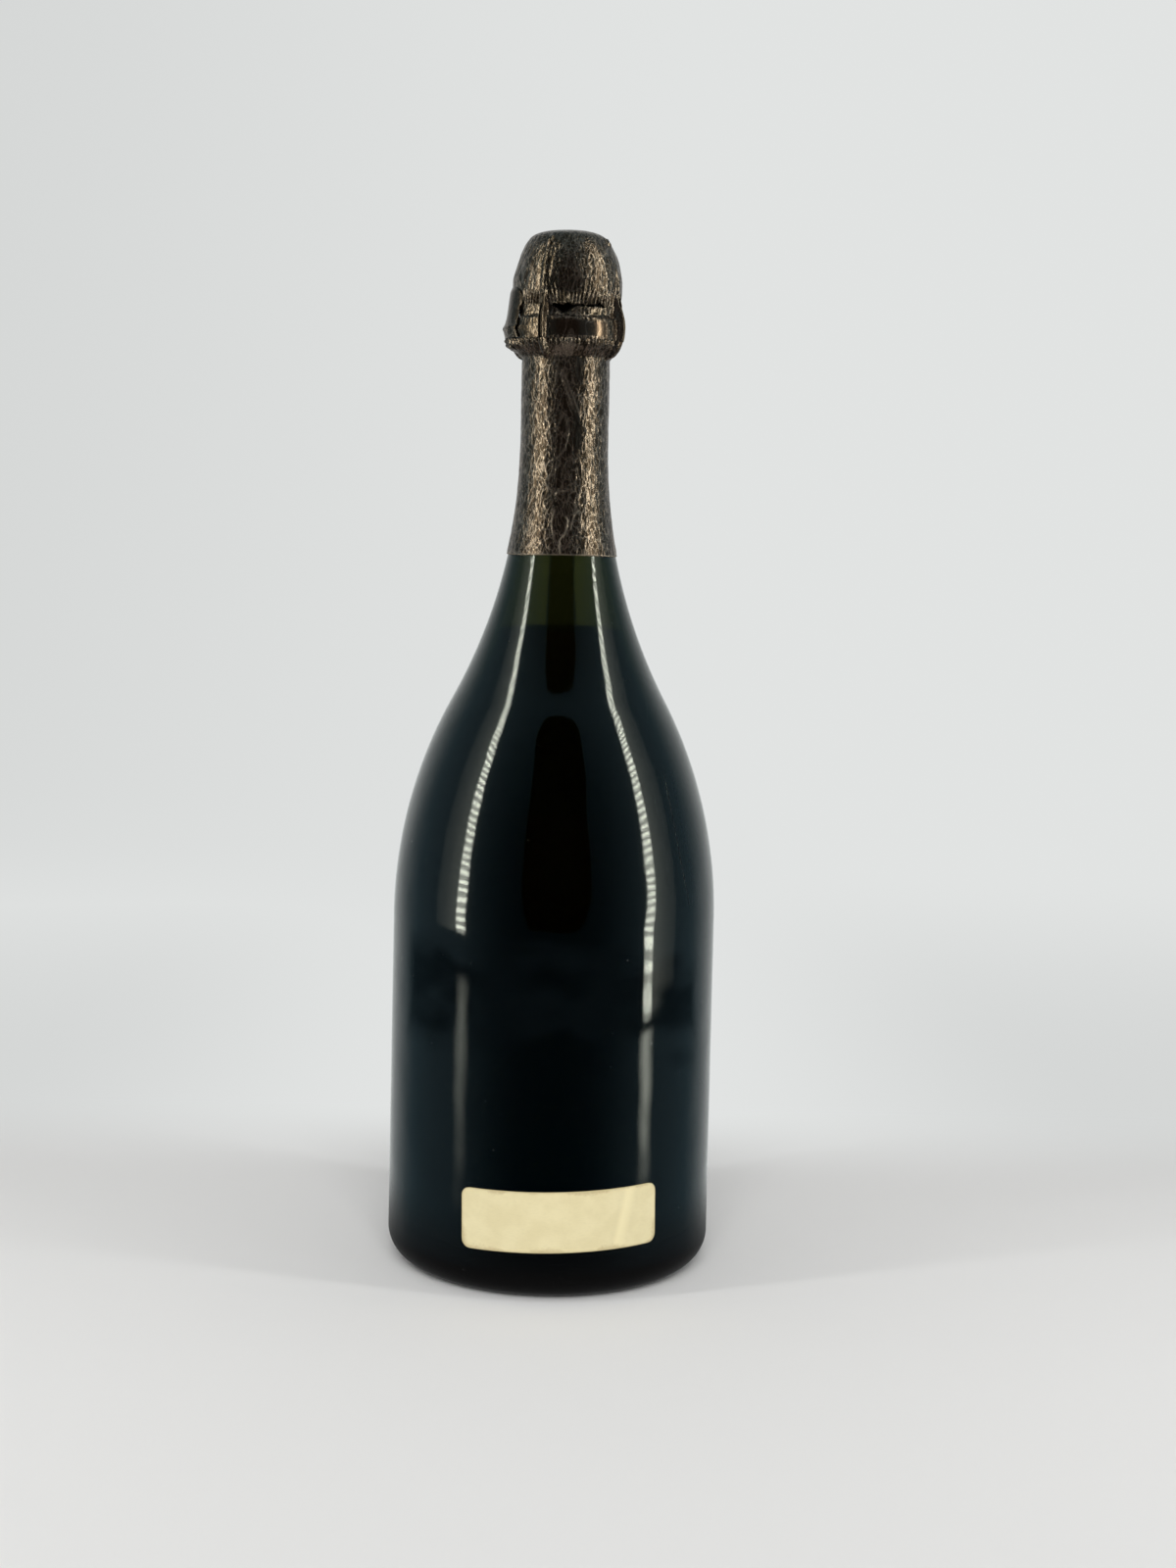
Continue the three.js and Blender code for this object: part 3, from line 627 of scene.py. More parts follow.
def make_sheet(name, grid, materials, values, thickness, wrap=False):
    """A sheet from a grid of points, with values at each of them. It may close round its rows."""
    rows, columns = grid.shape[:2]
    shape = grid.reshape(-1, 3), grid_faces(rows, columns, wrap_columns=wrap), np.zeros((0, 3), int)
    flat = {key: value.ravel() for key, value in values.items()}
    thicken(make_piece(name, shape, materials, flat), thickness)


# Nodes


def feed(tree, socket, value):
    """Links a socket to an input, or sets the input to a value. A colour gets full alpha."""
    if isinstance(value, bpy.types.NodeSocket):
        tree.links.new(value, socket)
    else:
        socket.default_value = (*value, 1) if socket.type == "RGBA" else value


def put(tree, kind, settings=None, *values, **inputs):
    """A node with its settings. Values go to its inputs in order, and named inputs by their names, with
    underscores for spaces."""
    made = tree.nodes.new(kind)
    for key, value in (settings or {}).items():
        setattr(made, key, value)
    for socket, value in zip(made.inputs, values):
        feed(tree, socket, value)
    for key, value in inputs.items():
        feed(tree, made.inputs[key.replace("_", " ")], value)
    return made


def mixed(tree, share, a, b):
    """A colour between two colours."""
    made = put(tree, "ShaderNodeMix", {"data_type": "RGBA"}, share)
    feed(tree, made.inputs[6], a)
    feed(tree, made.inputs[7], b)
    return made.outputs[2]


def mixed_shader(tree, share, a, b):
    """A shader between two shaders."""
    return put(tree, "ShaderNodeMixShader", None, share, a, b).outputs[0]


def maths(tree, operation, *values):
    """The result of a Math node."""
    return put(tree, "ShaderNodeMath", {"operation": operation}, *values).outputs[0]


def product(tree, *values):
    """The values multiplied together."""
    return functools.reduce(lambda a, b: maths(tree, "MULTIPLY", a, b), values)


def largest(tree, *values):
    """The largest of the values."""
    return functools.reduce(lambda a, b: maths(tree, "MAXIMUM", a, b), values)


def scaled(tree, value, factor, more):
    """A value times a factor, plus another value."""
    return maths(tree, "MULTIPLY_ADD", value, factor, more)


def off_from(tree, value, centre):
    """How far a value is from a centre."""
    return maths(tree, "ABSOLUTE", maths(tree, "SUBTRACT", value, centre))


def ranged(tree, value, low, high, to_low=0.0, to_high=1.0):
    """A value carried smoothly from one range to another."""
    return put(tree, "ShaderNodeMapRange", {"interpolation_type": "SMOOTHSTEP"}, Value=value,
               From_Min=low, From_Max=high, To_Min=to_low, To_Max=to_high).outputs["Result"]


def rough_by(tree, grain, low, high):
    """A roughness between low and high that follows the grain."""
    return ranged(tree, grain, 0.3, 0.7, low, high)


def axes(tree, vector):
    """The X, Y and Z of a vector."""
    return put(tree, "ShaderNodeSeparateXYZ", Vector=vector).outputs


def held(tree, name):
    """A value that the mesh holds at each of its points."""
    return put(tree, "ShaderNodeAttribute", {"attribute_name": name}).outputs["Fac"]


def cloud(tree, place, scale, detail, **inputs):
    """Smooth noise from 0 to 1."""
    return put(tree, "ShaderNodeTexNoise", Vector=place, Scale=scale, Detail=detail, **inputs).outputs["Fac"]


def cells(tree, place, scale, feature="F1"):
    """Scattered cells: the outputs hold the distance from each cell's point or edge, and its colour."""
    return put(tree, "ShaderNodeTexVoronoi", {"feature": feature}, Vector=place, Scale=scale).outputs


def stretched(tree, place, scale):
    """Places scaled along each axis."""
    return put(tree, "ShaderNodeMapping", Vector=place, Scale=scale).outputs[0]


def bumped(tree, height, distance, strength=1.0, **under):
    """A normal from a height, over the Normal that may be given."""
    made = put(tree, "ShaderNodeBump", Height=height, Distance=distance, Strength=strength, **under)
    return made.outputs["Normal"]


def shade(colour, factor):
    """A colour made darker or paler by a factor, or by one for each channel."""
    return np.array(colour) * factor


def new_material(name):
    """A material with an empty tree, and the object's own coordinates."""
    material = bpy.data.materials.new(name)
    material.use_nodes = True
    tree = material.node_tree
    tree.nodes.clear()
    return material, tree, tree.nodes.new("ShaderNodeTexCoord").outputs["Object"]


def finish_solid(tree, **inputs):
    """Ends a material that light doesn't pass."""
    shader = put(tree, "ShaderNodeBsdfPrincipled", **inputs)
    put(tree, "ShaderNodeOutputMaterial", Surface=shader.outputs[0])


def finish_clear(tree, tint, density, **inputs):
    """Ends a material that light passes and that absorbs with depth."""
    shader = put(tree, "ShaderNodeBsdfPrincipled", Base_Color=(1, 1, 1), Transmission_Weight=1, **inputs)
    absorb = put(tree, "ShaderNodeVolumeAbsorption", Color=tint, Density=density)
    put(tree, "ShaderNodeOutputMaterial", Surface=shader.outputs[0], Volume=absorb.outputs[0])


# Node groups


def new_group(name, inputs, outputs):
    """A new shader group with float inputs, a vector called Place, and float outputs."""
    group = bpy.data.node_groups.new(name, "ShaderNodeTree")
    group.interface.new_socket(name="Place", in_out="INPUT", socket_type="NodeSocketVector")
    for key, value in inputs.items():
        socket = group.interface.new_socket(name=key, in_out="INPUT", socket_type="NodeSocketFloat")
        socket.default_value = value
    for key in outputs:
        group.interface.new_socket(name=key, in_out="OUTPUT", socket_type="NodeSocketFloat")
    return group, group.nodes.new("NodeGroupInput").outputs, group.nodes.new("NodeGroupOutput").inputs


def leaning_lines(group, place, turn, stretch, scale, detail, **inputs):
    """How far a noise that is turned and drawn out upwards is from its middle: 0 along lines."""
    leaning = put(group, "ShaderNodeMapping", {"vector_type": "TEXTURE"}, Vector=place, Rotation=turn,
                  Scale=(1, 1, stretch))
    return off_from(group, cloud(group, leaning.outputs[0], scale, detail, **inputs), 0.5)


def mottle_group(name):
    """Blotches and grain: broad noise for the blotches, fine noise for the grain."""
    group, given, result = new_group(name, {"Blotch": 60, "Grain": 900}, ("Blotches", "Grains"))
    blotch = cloud(group, given["Place"], given["Blotch"], 4)
    group.links.new(ranged(group, blotch, 0.35, 0.65), result["Blotches"])
    group.links.new(cloud(group, given["Place"], given["Grain"], 3), result["Grains"])
    return group


def scuff_group(name):
    """Scuffs: thin lines where two stretched noises cross their middle, kept to a few patches."""
    group, given, result = new_group(name, {"Scale": 60, "Width": 0.01, "Patches": 40}, ("Lines",))
    lines = []
    for lean in (0.5, -0.9):
        turn = (lean, lean / 2, 0)
        off = leaning_lines(group, given["Place"], turn, 8, given["Scale"], 2, Distortion=0.6)
        lines.append(maths(group, "LESS_THAN", off, given["Width"]))
    here = ranged(group, cloud(group, given["Place"], given["Patches"], 1), 0.56, 0.66)
    group.links.new(product(group, largest(group, *lines), here), result["Lines"])
    return group


def wrinkle_group(name):
    """Wrinkles: round ridges along the lines where three stretched noises, which lean to either side, cross
    their middle. The crests are the tops of the ridges."""
    group, given, result = new_group(name, {"Scale": 900}, ("Height", "Crests"))
    total = crests = 0.0
    for lean, factor, weight in ((0.25, 1.0, 1.0), (-0.3, 1.2, 0.8), (0.05, 1.8, 0.3)):
        scale = product(group, given["Scale"], factor)
        off = leaning_lines(group, given["Place"], (lean, lean, 0), 3.6, scale, 0.6)
        total = scaled(group, ranged(group, off, 0.1, 0.0), weight, total)
        crests = largest(group, crests, ranged(group, off, 0.04, 0.006))
    group.links.new(total, result["Height"])
    group.links.new(crests, result["Crests"])
    return group


def placed(tree, name, build, **inputs):
    """The outputs of a group placed in a material. The group is built when it is first asked for."""
    group = bpy.data.node_groups.get(name) or build(name)
    return put(tree, "ShaderNodeGroup", {"node_tree": group}, **inputs).outputs


def mottle(tree, place, blotch, grain):
    """Blotches and grain placed in a material."""
    made = placed(tree, "mottle", mottle_group, Place=place, Blotch=blotch, Grain=grain)
    return made["Blotches"], made["Grains"]


def scuffs(tree, place, scale, width, patches):
    """Scuffs placed in a material."""
    made = placed(tree, "scuffs", scuff_group, Place=place, Scale=scale, Width=width, Patches=patches)
    return made["Lines"]


# Materials


def glass_material(glass):
    """Dark glass that absorbs with depth. Its face is slightly wavy, with dull smears, specks and one long
    scratch, a straight line seen from the front that breaks up along its length."""
    material, tree, place = new_material("green_glass")
    smear, grain = mottle(tree, place, blotch=28, grain=900)
    at = axes(tree, place)
    off = off_from(tree, at["X"], scaled(tree, at["Z"], -SCRATCH_LEAN, SCRATCH_FOOT))
    scratch = maths(tree, "LESS_THAN", scaled(tree, grain, -SCRATCH_WIDTH, off), 0)
    span = product(tree, ranged(tree, at["Z"], SCRATCH_LOW, SCRATCH_LOW + 6 * MM),
                   ranged(tree, at["Z"], SCRATCH_HIGH, SCRATCH_HIGH - 8 * MM))
    scratch = product(tree, scratch, span, maths(tree, "LESS_THAN", at["Y"], 0))
    speck = maths(tree, "LESS_THAN", cells(tree, place, 130)["Distance"], 0.022)
    rough = scaled(tree, largest(tree, scratch, speck), 0.6, scaled(tree, smear, 0.04, 0.02))
    waves = bumped(tree, cloud(tree, place, 55, 1), 0.25 * MM)
    normal = bumped(tree, cloud(tree, place, 620, 2), 0.004 * MM, Normal=waves)
    finish_clear(tree, glass.tint, glass.density, Roughness=rough, Normal=normal, IOR=1.5)
    return material


def wine_material(wine):
    """Clear wine that absorbs with depth."""
    material, tree, _ = new_material("wine")
    finish_clear(tree, wine.tint, wine.density, Roughness=0, IOR=1.34)
    return material


def foil_material(foil):
    """Bronze foil: tarnished in its creases, where it also has painted shade down to near black; painted
    highlights along the thin crests of its wrinkles and painted shade between them; rubbed paler on the
    highest crests, polished where it is drawn smooth, with thin cracks and a bare cut edge."""
    material, tree, place = new_material("bronze_foil")
    crest_and_painted_shade, edge, fine = (held(tree, name) for name in ("crest_and_painted_shade", "cut_edge", "fine"))
    blotch, grain = mottle(tree, place, blotch=70, grain=1500)
    wrinkle = placed(tree, "wrinkles", wrinkle_group, Place=place, Scale=600)
    cracks = scuffs(tree, place, scale=90, width=0.008, patches=45)
    half_fine = product(tree, fine, 0.5)
    # flat paints shade between the wrinkles' crests in a darker tarnish, and ridge paints a highlight along
    # the crests in the rubbed colour
    flat = product(tree, maths(tree, "SUBTRACT", 1, wrinkle["Crests"]), half_fine)
    ridge = product(tree, wrinkle["Crests"], half_fine)
    # Tarnish where crest_and_painted_shade is low: patina in the creases, and painted shade where the foil's
    # tones lower it
    aged = mixed(tree, ranged(tree, crest_and_painted_shade, 0.0, 0.7), foil.tarnish_and_painted_shade, foil.bronze)
    aged = mixed(tree, product(tree, blotch, 0.35), aged, foil.tarnish_and_painted_shade)
    aged = mixed(tree, flat, aged, shade(foil.tarnish_and_painted_shade, 0.5))
    aged = mixed(tree, ridge, aged, foil.rubbed)
    # Painted shade: near black where crest_and_painted_shade is lowest
    aged = mixed(tree, ranged(tree, crest_and_painted_shade, -0.15, -0.6), aged, (0.004, 0.003, 0.002))
    worn = product(tree, ranged(tree, crest_and_painted_shade, 0.72, 0.98), ranged(tree, grain, 0.4, 0.62), 0.55)
    worn = largest(tree, worn, product(tree, cracks, 0.5), edge)
    colour = mixed(tree, worn, aged, foil.rubbed)
    dull = rough_by(tree, grain, 0.25, 0.36)
    rough = product(tree, dull, ranged(tree, fine, 0.0, 0.9, 0.5, 1))
    rough = largest(tree, rough, product(tree, edge, 0.8))
    normal = bumped(tree, product(tree, wrinkle["Height"], fine), 0.038 * MM)
    finish_solid(tree, Base_Color=colour, Roughness=rough, Normal=normal, Metallic=0.94)
    return material


def backing_material():
    """The foil's bare inner side: dull aluminium with fine grain."""
    material, tree, place = new_material("foil_backing")
    blotch, grain = mottle(tree, place, blotch=90, grain=1200)
    colour = mixed(tree, blotch, (0.5, 0.49, 0.46), (0.36, 0.35, 0.32))
    rough = rough_by(tree, grain, 0.35, 0.5)
    normal = bumped(tree, grain, 0.03 * MM)
    finish_solid(tree, Base_Color=colour, Roughness=rough, Normal=normal, Metallic=1)
    return material


def agglomerate_material(cork):
    """Pressed cork granules: cells of differing brown, with dark seams and a little grain."""
    material, tree, place = new_material("agglomerate_cork")
    warp = put(tree, "ShaderNodeTexNoise", Vector=place, Scale=500, Detail=2).outputs["Color"]
    spread = put(tree, "ShaderNodeVectorMath", {"operation": "SCALE"}, warp, Scale=0.0012).outputs[0]
    wandered = put(tree, "ShaderNodeVectorMath", {"operation": "ADD"}, place, spread).outputs[0]
    granule = cells(tree, wandered, 480)["Color"]
    seam = cells(tree, wandered, 480, "DISTANCE_TO_EDGE")["Distance"]
    tone = put(tree, "ShaderNodeSeparateColor", Color=granule).outputs[0]
    _, grain = mottle(tree, place, blotch=100, grain=2500)
    light = scaled(tree, grain, 0.5, scaled(tree, tone, 0.9, -0.2))
    colour = mixed(tree, light, cork.dark, cork.pale)
    gap = ranged(tree, seam, 0.0, 0.09)
    colour = mixed(tree, gap, shade(cork.dark, 0.6), colour)
    normal = bumped(tree, scaled(tree, grain, 0.4, gap), 0.12 * MM)
    finish_solid(tree, Base_Color=colour, Roughness=0.85, Normal=normal)
    return material


def natural_cork_material(cork):
    """Natural cork: warm, with growth bands and dark pores."""
    material, tree, place = new_material("natural_cork")
    banded = stretched(tree, place, (1, 0.25, 1))
    bands = cloud(tree, banded, 700, 4)
    pit = ranged(tree, cells(tree, banded, 420)["Distance"], 0.1, 0.2)
    colour = mixed(tree, ranged(tree, bands, 0.35, 0.7), cork.pale, shade(cork.pale, 0.62))
    colour = mixed(tree, pit, cork.dark, colour)
    normal = bumped(tree, scaled(tree, bands, 0.3, pit), 0.15 * MM)
    finish_solid(tree, Base_Color=colour, Roughness=0.8, Normal=normal)
    return material


def wire_material(muselet):
    """Galvanised wire: dull zinc with brighter scuffs."""
    material, tree, place = new_material("steel_wire")
    blotch, grain = mottle(tree, place, blotch=260, grain=2600)
    lines = scuffs(tree, place, scale=300, width=0.02, patches=200)
    colour = mixed(tree, blotch, muselet.zinc, shade(muselet.zinc, 0.62))
    colour = mixed(tree, lines, colour, (0.7, 0.7, 0.68))
    rough = rough_by(tree, grain, 0.28, 0.5)
    normal = bumped(tree, grain, 0.03 * MM)
    finish_solid(tree, Base_Color=colour, Roughness=rough, Normal=normal, Metallic=1)
    return material


def cap_material(muselet):
    """Lacquered tinplate, with the lacquer rubbed through in thin lines."""
    material, tree, place = new_material("tinplate")
    blotch, grain = mottle(tree, place, blotch=150, grain=2000)
    lines = scuffs(tree, place, scale=160, width=0.012, patches=120)
    colour = mixed(tree, blotch, muselet.lacquer, shade(muselet.lacquer, 0.7))
    colour = mixed(tree, product(tree, lines, 0.7), colour, (0.6, 0.58, 0.54))
    rough = rough_by(tree, grain, 0.22, 0.36)
    finish_solid(tree, Base_Color=colour, Roughness=rough, Metallic=0.9, Coat_Weight=0.4, Coat_Roughness=0.12)
    return material


def paper_material(label):
    """Aged paper: fibres, soft blotches, damp stains that follow the edge, small brown spots, and a painted
    highlight along the fold.
    """
    material, tree, place = new_material("label_paper")
    rim, fold = held(tree, "rim"), held(tree, "fold")
    blotch, grain = mottle(tree, place, blotch=150, grain=1600)
    fibre = cloud(tree, stretched(tree, place, (1, 1, 4)), 700, 4)
    spot = ranged(tree, cells(tree, place, 210)["Distance"], 0.16, 0.07)
    ragged = scaled(tree, grain, 0.55, rim)
    damp = product(tree, ranged(tree, ragged, 0.7, 1.25), 0.75)
    spotted = product(tree, spot, ranged(tree, ragged, 0.55, 1.1))
    colour = mixed(tree, blotch, label.cream, shade(label.cream, (0.94, 0.93, 0.9)))
    colour = mixed(tree, product(tree, ranged(tree, fibre, 0.45, 0.7), 0.16), colour, shade(label.cream, 0.8))
    # Painted highlight: the paper is paler along the fold
    colour = mixed(tree, fold, colour, np.minimum(shade(label.cream, 1.1), 1))
    colour = mixed(tree, largest(tree, damp, spotted), colour, label.stain)
    rough = rough_by(tree, fibre, 0.55, 0.75)
    normal = bumped(tree, scaled(tree, fibre, 0.6, grain), 0.03 * MM, 0.6)
    finish_solid(tree, Base_Color=colour, Roughness=rough, Normal=normal)
    return material


# Outlines, as radius and height


def shoulder(glass, wide, narrow, count=90):
    """The S of the shoulder upwards: a convex and a hollow arc that share a tangent, so both turn through
    twice the angle whose tangent is the step inwards over the rise."""
    rise, lower, start = glass.shoulder_rise, glass.shoulder_radius, glass.shoulder_start
    turn = 2 * math.atan2(wide - narrow, rise)
    upper = rise / math.sin(turn) - lower
    convex = arc((wide - lower, start), lower, 0, turn, count)
    hollow = arc((narrow + upper, start + rise), upper, math.pi + turn, math.pi, count)
    return run(convex, hollow)


def glass_side(glass):
    """The outside of the glass from the heel up to the ring."""
    heel = arc((glass.foot_radius - HEEL, HEEL), HEEL, -math.pi / 2, 0, 30)
    return run(heel, shoulder(glass, glass.body_radius, glass.neck_radius), (glass.neck_radius, RING_FOOT))


def glass_inside(glass, inset=0.0):
    """The inside of the glass upwards, from the tip over the punt to the foot of the neck."""
    foot, heel, floor = glass.foot_radius - glass.side_wall - inset, INNER_HEEL - inset, BASE_WALL + inset
    top = PUNT_DEPTH + floor
    punt = bend((0, top), (PUNT_TIP, top), (PUNT_STEEP + floor, PUNT_RISE + inset), (foot - heel, floor),
                count=60)
    corner = arc((foot - heel, floor + heel), heel, -math.pi / 2, 0, 16)
    side = shoulder(glass, glass.body_radius - glass.side_wall - inset, glass.mouth_radius - inset)
    return run(punt, corner, side)


def ring_side(glass):
    """The outside of the ring under the lip upwards, with its round edges."""
    ring = glass.ring_radius
    return run(
        bend((ring - RING_EDGE, RING_FOOT), (ring, RING_FOOT), (ring, RING_FOOT + RING_EDGE), count=10),
        bend((ring, RING_TOP - RING_EDGE), (ring, RING_TOP), (ring - RING_EDGE, RING_TOP), count=10),
    )


def glass_outline(glass):
    """The whole section of the glass: under the punt, up the outside, over the finish, down the inside."""
    lip, mouth = glass.lip_radius, glass.mouth_radius
    under = bend((0, PUNT_DEPTH), (PUNT_TIP, PUNT_DEPTH), (PUNT_STEEP, PUNT_RISE), (PUNT_RADIUS, 0), count=60)
    finish = run(
        bend((glass.neck_radius, RING_FOOT - LIP_EDGE), (glass.neck_radius, RING_FOOT),
             (glass.neck_radius + LIP_EDGE, RING_FOOT), count=8),
        ring_side(glass),
        (lip, RING_TOP),
        bend((lip, LIP_TOP - LIP_EDGE), (lip, LIP_TOP), (lip - LIP_EDGE, LIP_TOP), count=10),
        bend((mouth + LIP_EDGE, LIP_TOP), (mouth, LIP_TOP), (mouth, LIP_TOP - LIP_EDGE), count=10),
    )
    return run(under, glass_side(glass)[:-1], finish, glass_inside(glass)[::-1])


def wine_outline(glass):
    """The wine: the inside of the glass up to its level, where it climbs the wall a little."""
    inside = glass_inside(glass, WINE_GAP)
    wetted = inside[inside[:, 1] < WINE_LEVEL]
    edge = radius_at(shoulder(glass, glass.body_radius - glass.side_wall - WINE_GAP,
                              glass.mouth_radius - WINE_GAP), WINE_LEVEL)
    radius = edge * (1 - np.linspace(0, 1, 40) ** 2)
    climb = MENISCUS * np.exp((radius - edge) / MENISCUS)
    return run(wetted, np.column_stack([radius, WINE_LEVEL - MENISCUS + climb]))


def head_side(cork):
    """The side of the cork's mushroom head, from the lip up to its flat top."""
    wide = cork.head_radius
    return run(
        bend((HEAD_FOOT_RADIUS, HEAD_FOOT), (wide, HEAD_FOOT), (wide, HEAD_FOOT + HEAD_BULGE), count=20),
        bend((wide, HEAD_WIDEST), (wide, CORK_HEAD_TOP - HEAD_SHOULDER), (HEAD_TOP_RADIUS, CORK_HEAD_TOP),
             count=30),
    )


def leg_route(glass, cork, muselet, count=140):
    """One leg of the muselet: over the cap's rim, down the cork's groove, outside the ring and hooked
    under the belt."""
    head, thick = head_side(cork), muselet.leg_radius
    lift = thick - LEG_BITE
    outside = glass.ring_radius + LEG_GAP + thick
    belt_radius, belt_height = belt_place(glass, muselet)
    hook = muselet.wire_radius + FOOT_GAP + thick
    high, low = CORK_HEAD_TOP - HEAD_SHOULDER / 2, CORK_HEAD_TOP - HEAD_SHOULDER
    diagonal = hook * math.sqrt(0.5)
    return smooth_route([
        (CROWN_RADIUS, CAP_RIM + SEAT_GAP + thick),
        (muselet.cap_radius + thick, CAP_RIM + thick),
        (radius_at(head, high) + lift, high),
        (radius_at(head, low) + lift, low),
        (cork.head_radius + lift, HEAD_WIDEST),
        (cork.head_radius + lift, HEAD_FOOT + HEAD_BULGE / 2),
        (outside, RING_TOP),
        (outside, RING_FOOT + LEG_STRAIGHT),
        (outside - LEG_TURN_IN, RING_FOOT - LEG_TURN_IN),
        (belt_radius + diagonal, belt_height - diagonal),
        (belt_radius, belt_height - hook),
    ], count)


def belt_place(glass, muselet):
    """Radius and height of the belt under the ring."""
    return glass.neck_radius + BELT_GAP + muselet.wire_radius, RING_FOOT - BELT_DROP


def eyelet_radius(glass, muselet):
    """Radius of the eyelet's foot, outside the ring."""
    return glass.ring_radius + EYELET_STAND_OFF + muselet.wire_radius


def stub_route(glass, muselet, count=40):
    """The belt's stub, out under the ring to the eyelet's foot."""
    radius, height = belt_place(glass, muselet)
    out = eyelet_radius(glass, muselet)
    return smooth_route([
        (radius, height),
        ((radius + out) / 2, height + muselet.wire_radius),
        (out - muselet.wire_radius, RING_FOOT - muselet.wire_radius),
        (out, EYELET_FOOT - STUB_GAP),
    ], count)


def reach(route, radius, heights):
    """How far out a round bar along a route reaches at each height: its centre plus half the chord there,
    or 0 where it isn't."""
    half = radius**2 - (route[None, :, 1] - heights.reshape(-1, 1)) ** 2
    out = np.where(half > 0, route[None, :, 0] + np.sqrt(np.maximum(half, 0)), 0)
    return out.max(1).reshape(heights.shape)


def leg_ridges(azimuth, radius, width, power=2):
    """One bell for each leg: e to the minus power of the distance from the leg over the width. A higher
    power gives a flatter top and steeper sides."""
    quarter = TURN / LEG_COUNT
    nearest = np.round((azimuth - LEG_AZIMUTH) / quarter) * quarter + LEG_AZIMUTH
    return np.exp(-np.abs((azimuth - nearest) * radius / width) ** power)


def hood_outline():
    """The hood from its rim up: the band over the ring, the waist, the fold above it, the dome over the
    cork, the cap's edge and the flat top."""
    edge, belly, rim = BAND_RADIUS - BAND_EDGE, BAND_RADIUS + BAND_BELLY, HOOD_RIM - HOOD_LAP
    return run(
        bend((edge, rim), (belly, rim + BAND_ROUND), (belly, BAND_TOP - BAND_ROUND), (edge, BAND_TOP),
             count=16),
        bend((edge, BAND_TOP), (edge - 0.3 * MM, BAND_TOP + 0.6 * MM), (WAIST_RADIUS, BAND_TOP + 0.5 * MM),
             (WAIST_RADIUS, WAIST), count=13),
        bend((WAIST_RADIUS, WAIST), (WAIST_RADIUS, WAIST + 1.4 * MM), (FOLD_RADIUS, FOLD - 1.2 * MM),
             (FOLD_RADIUS, FOLD), count=18),
        bend((FOLD_RADIUS, FOLD), (FOLD_RADIUS, FOLD + 2 * MM), (DOME_RADIUS, DOME_LOW - 2 * MM),
             (DOME_RADIUS, DOME_LOW), count=12),
        even(np.array([(DOME_RADIUS, DOME_LOW), (DOME_RADIUS, DOME_HIGH)]), 5),
        bend((DOME_RADIUS, DOME_HIGH), DOME_CORNER, (CAP_EDGE_RADIUS, CAP_EDGE), count=24),
        bend((CAP_EDGE_RADIUS, CAP_EDGE), (TOP_FLAT, HOOD_TOP), (0, HOOD_TOP), count=15),
    )


def collar_outline(glass):
    """The collar from its cut foot up along the glass, then out to under the hood's rim."""
    away = FOIL_GAP + FOIL_SHEET
    heights = np.linspace(COLLAR_FOOT, TUCK_FOOT, 80)
    neck = np.column_stack([radius_at(glass_side(glass), heights) + away, heights])
    start, end = neck[-1], (BAND_RADIUS - TUCK_LAP, HOOD_RIM - TUCK_LAP)
    return run(neck, bend(start, (start[0], TUCK_BEND), TUCK_CORNER, end, count=40))


def tab_radius(height):
    """The tear tab's outside at its middle: a tip over the eyelet's stem, and a hollow over its loop."""
    return radius_at(smooth_route(TAB_SIDE, 80), height)


def tab_half_width(height, margin=0.0):
    """Half the tear tab's width at a height: straight sides, and round upper corners."""
    down = TAB_CORNER - (TAB_TOP - margin - height)
    inwards = TAB_CORNER - np.sqrt(np.maximum(TAB_CORNER**2 - np.maximum(down, 0) ** 2, 0))
    return np.where(height < TAB_TOP - margin, TAB_WIDTH / 2 - margin - inwards, 0)


def near_line(across, height, corners):
    """A mask that is 1 on a smooth line through the corners and falls off as a bell beside it."""
    grid = np.stack(np.broadcast_arrays(across, height), -1)
    nearest = np.full(grid.shape[:2], np.inf)
    for point in smooth_route(corners, 60):
        nearest = np.minimum(nearest, np.linalg.norm(grid - point, axis=-1))
    return hill(nearest, 0, CRACK_WIDTH)


def crumple(turn, rise, seed, fine):
    """The foil's creases from about -1 to 1: broad dents, creases that lean both ways and fine wrinkles,
    in cells that are taller than wide. fine is the count of fine cells up the outline."""
    broad = 2 * noise(turn, rise, (9, max(2, fine // 6)), seed) - 1
    medium = creases(turn, rise, (34, max(3, fine // 2)), 0.05, seed + 10)
    left = creases(turn, rise, (84, fine), 0.04, seed + 20)
    right = creases(turn, rise, (96, fine), -0.05, seed + 30)
    return 0.35 * broad + 0.28 * medium + 0.27 * left + 0.27 * right


# Pieces


class BOTTLE_OT_glass(bpy.types.Operator):
    """Turn the glass bottle and the wine inside it"""

    bl_idname = "bottle.glass"
    bl_label = "Glass and Wine"

    def execute(self, context):
        glass, wine = context.scene.bottle_glass, context.scene.bottle_wine
        make_piece("bottle_glass", turned(glass_outline(glass), ROUND), [glass_material(glass)])
        make_piece("bottle_wine", turned(wine_outline(glass), ROUND), [wine_material(wine)])
        return {"FINISHED"}


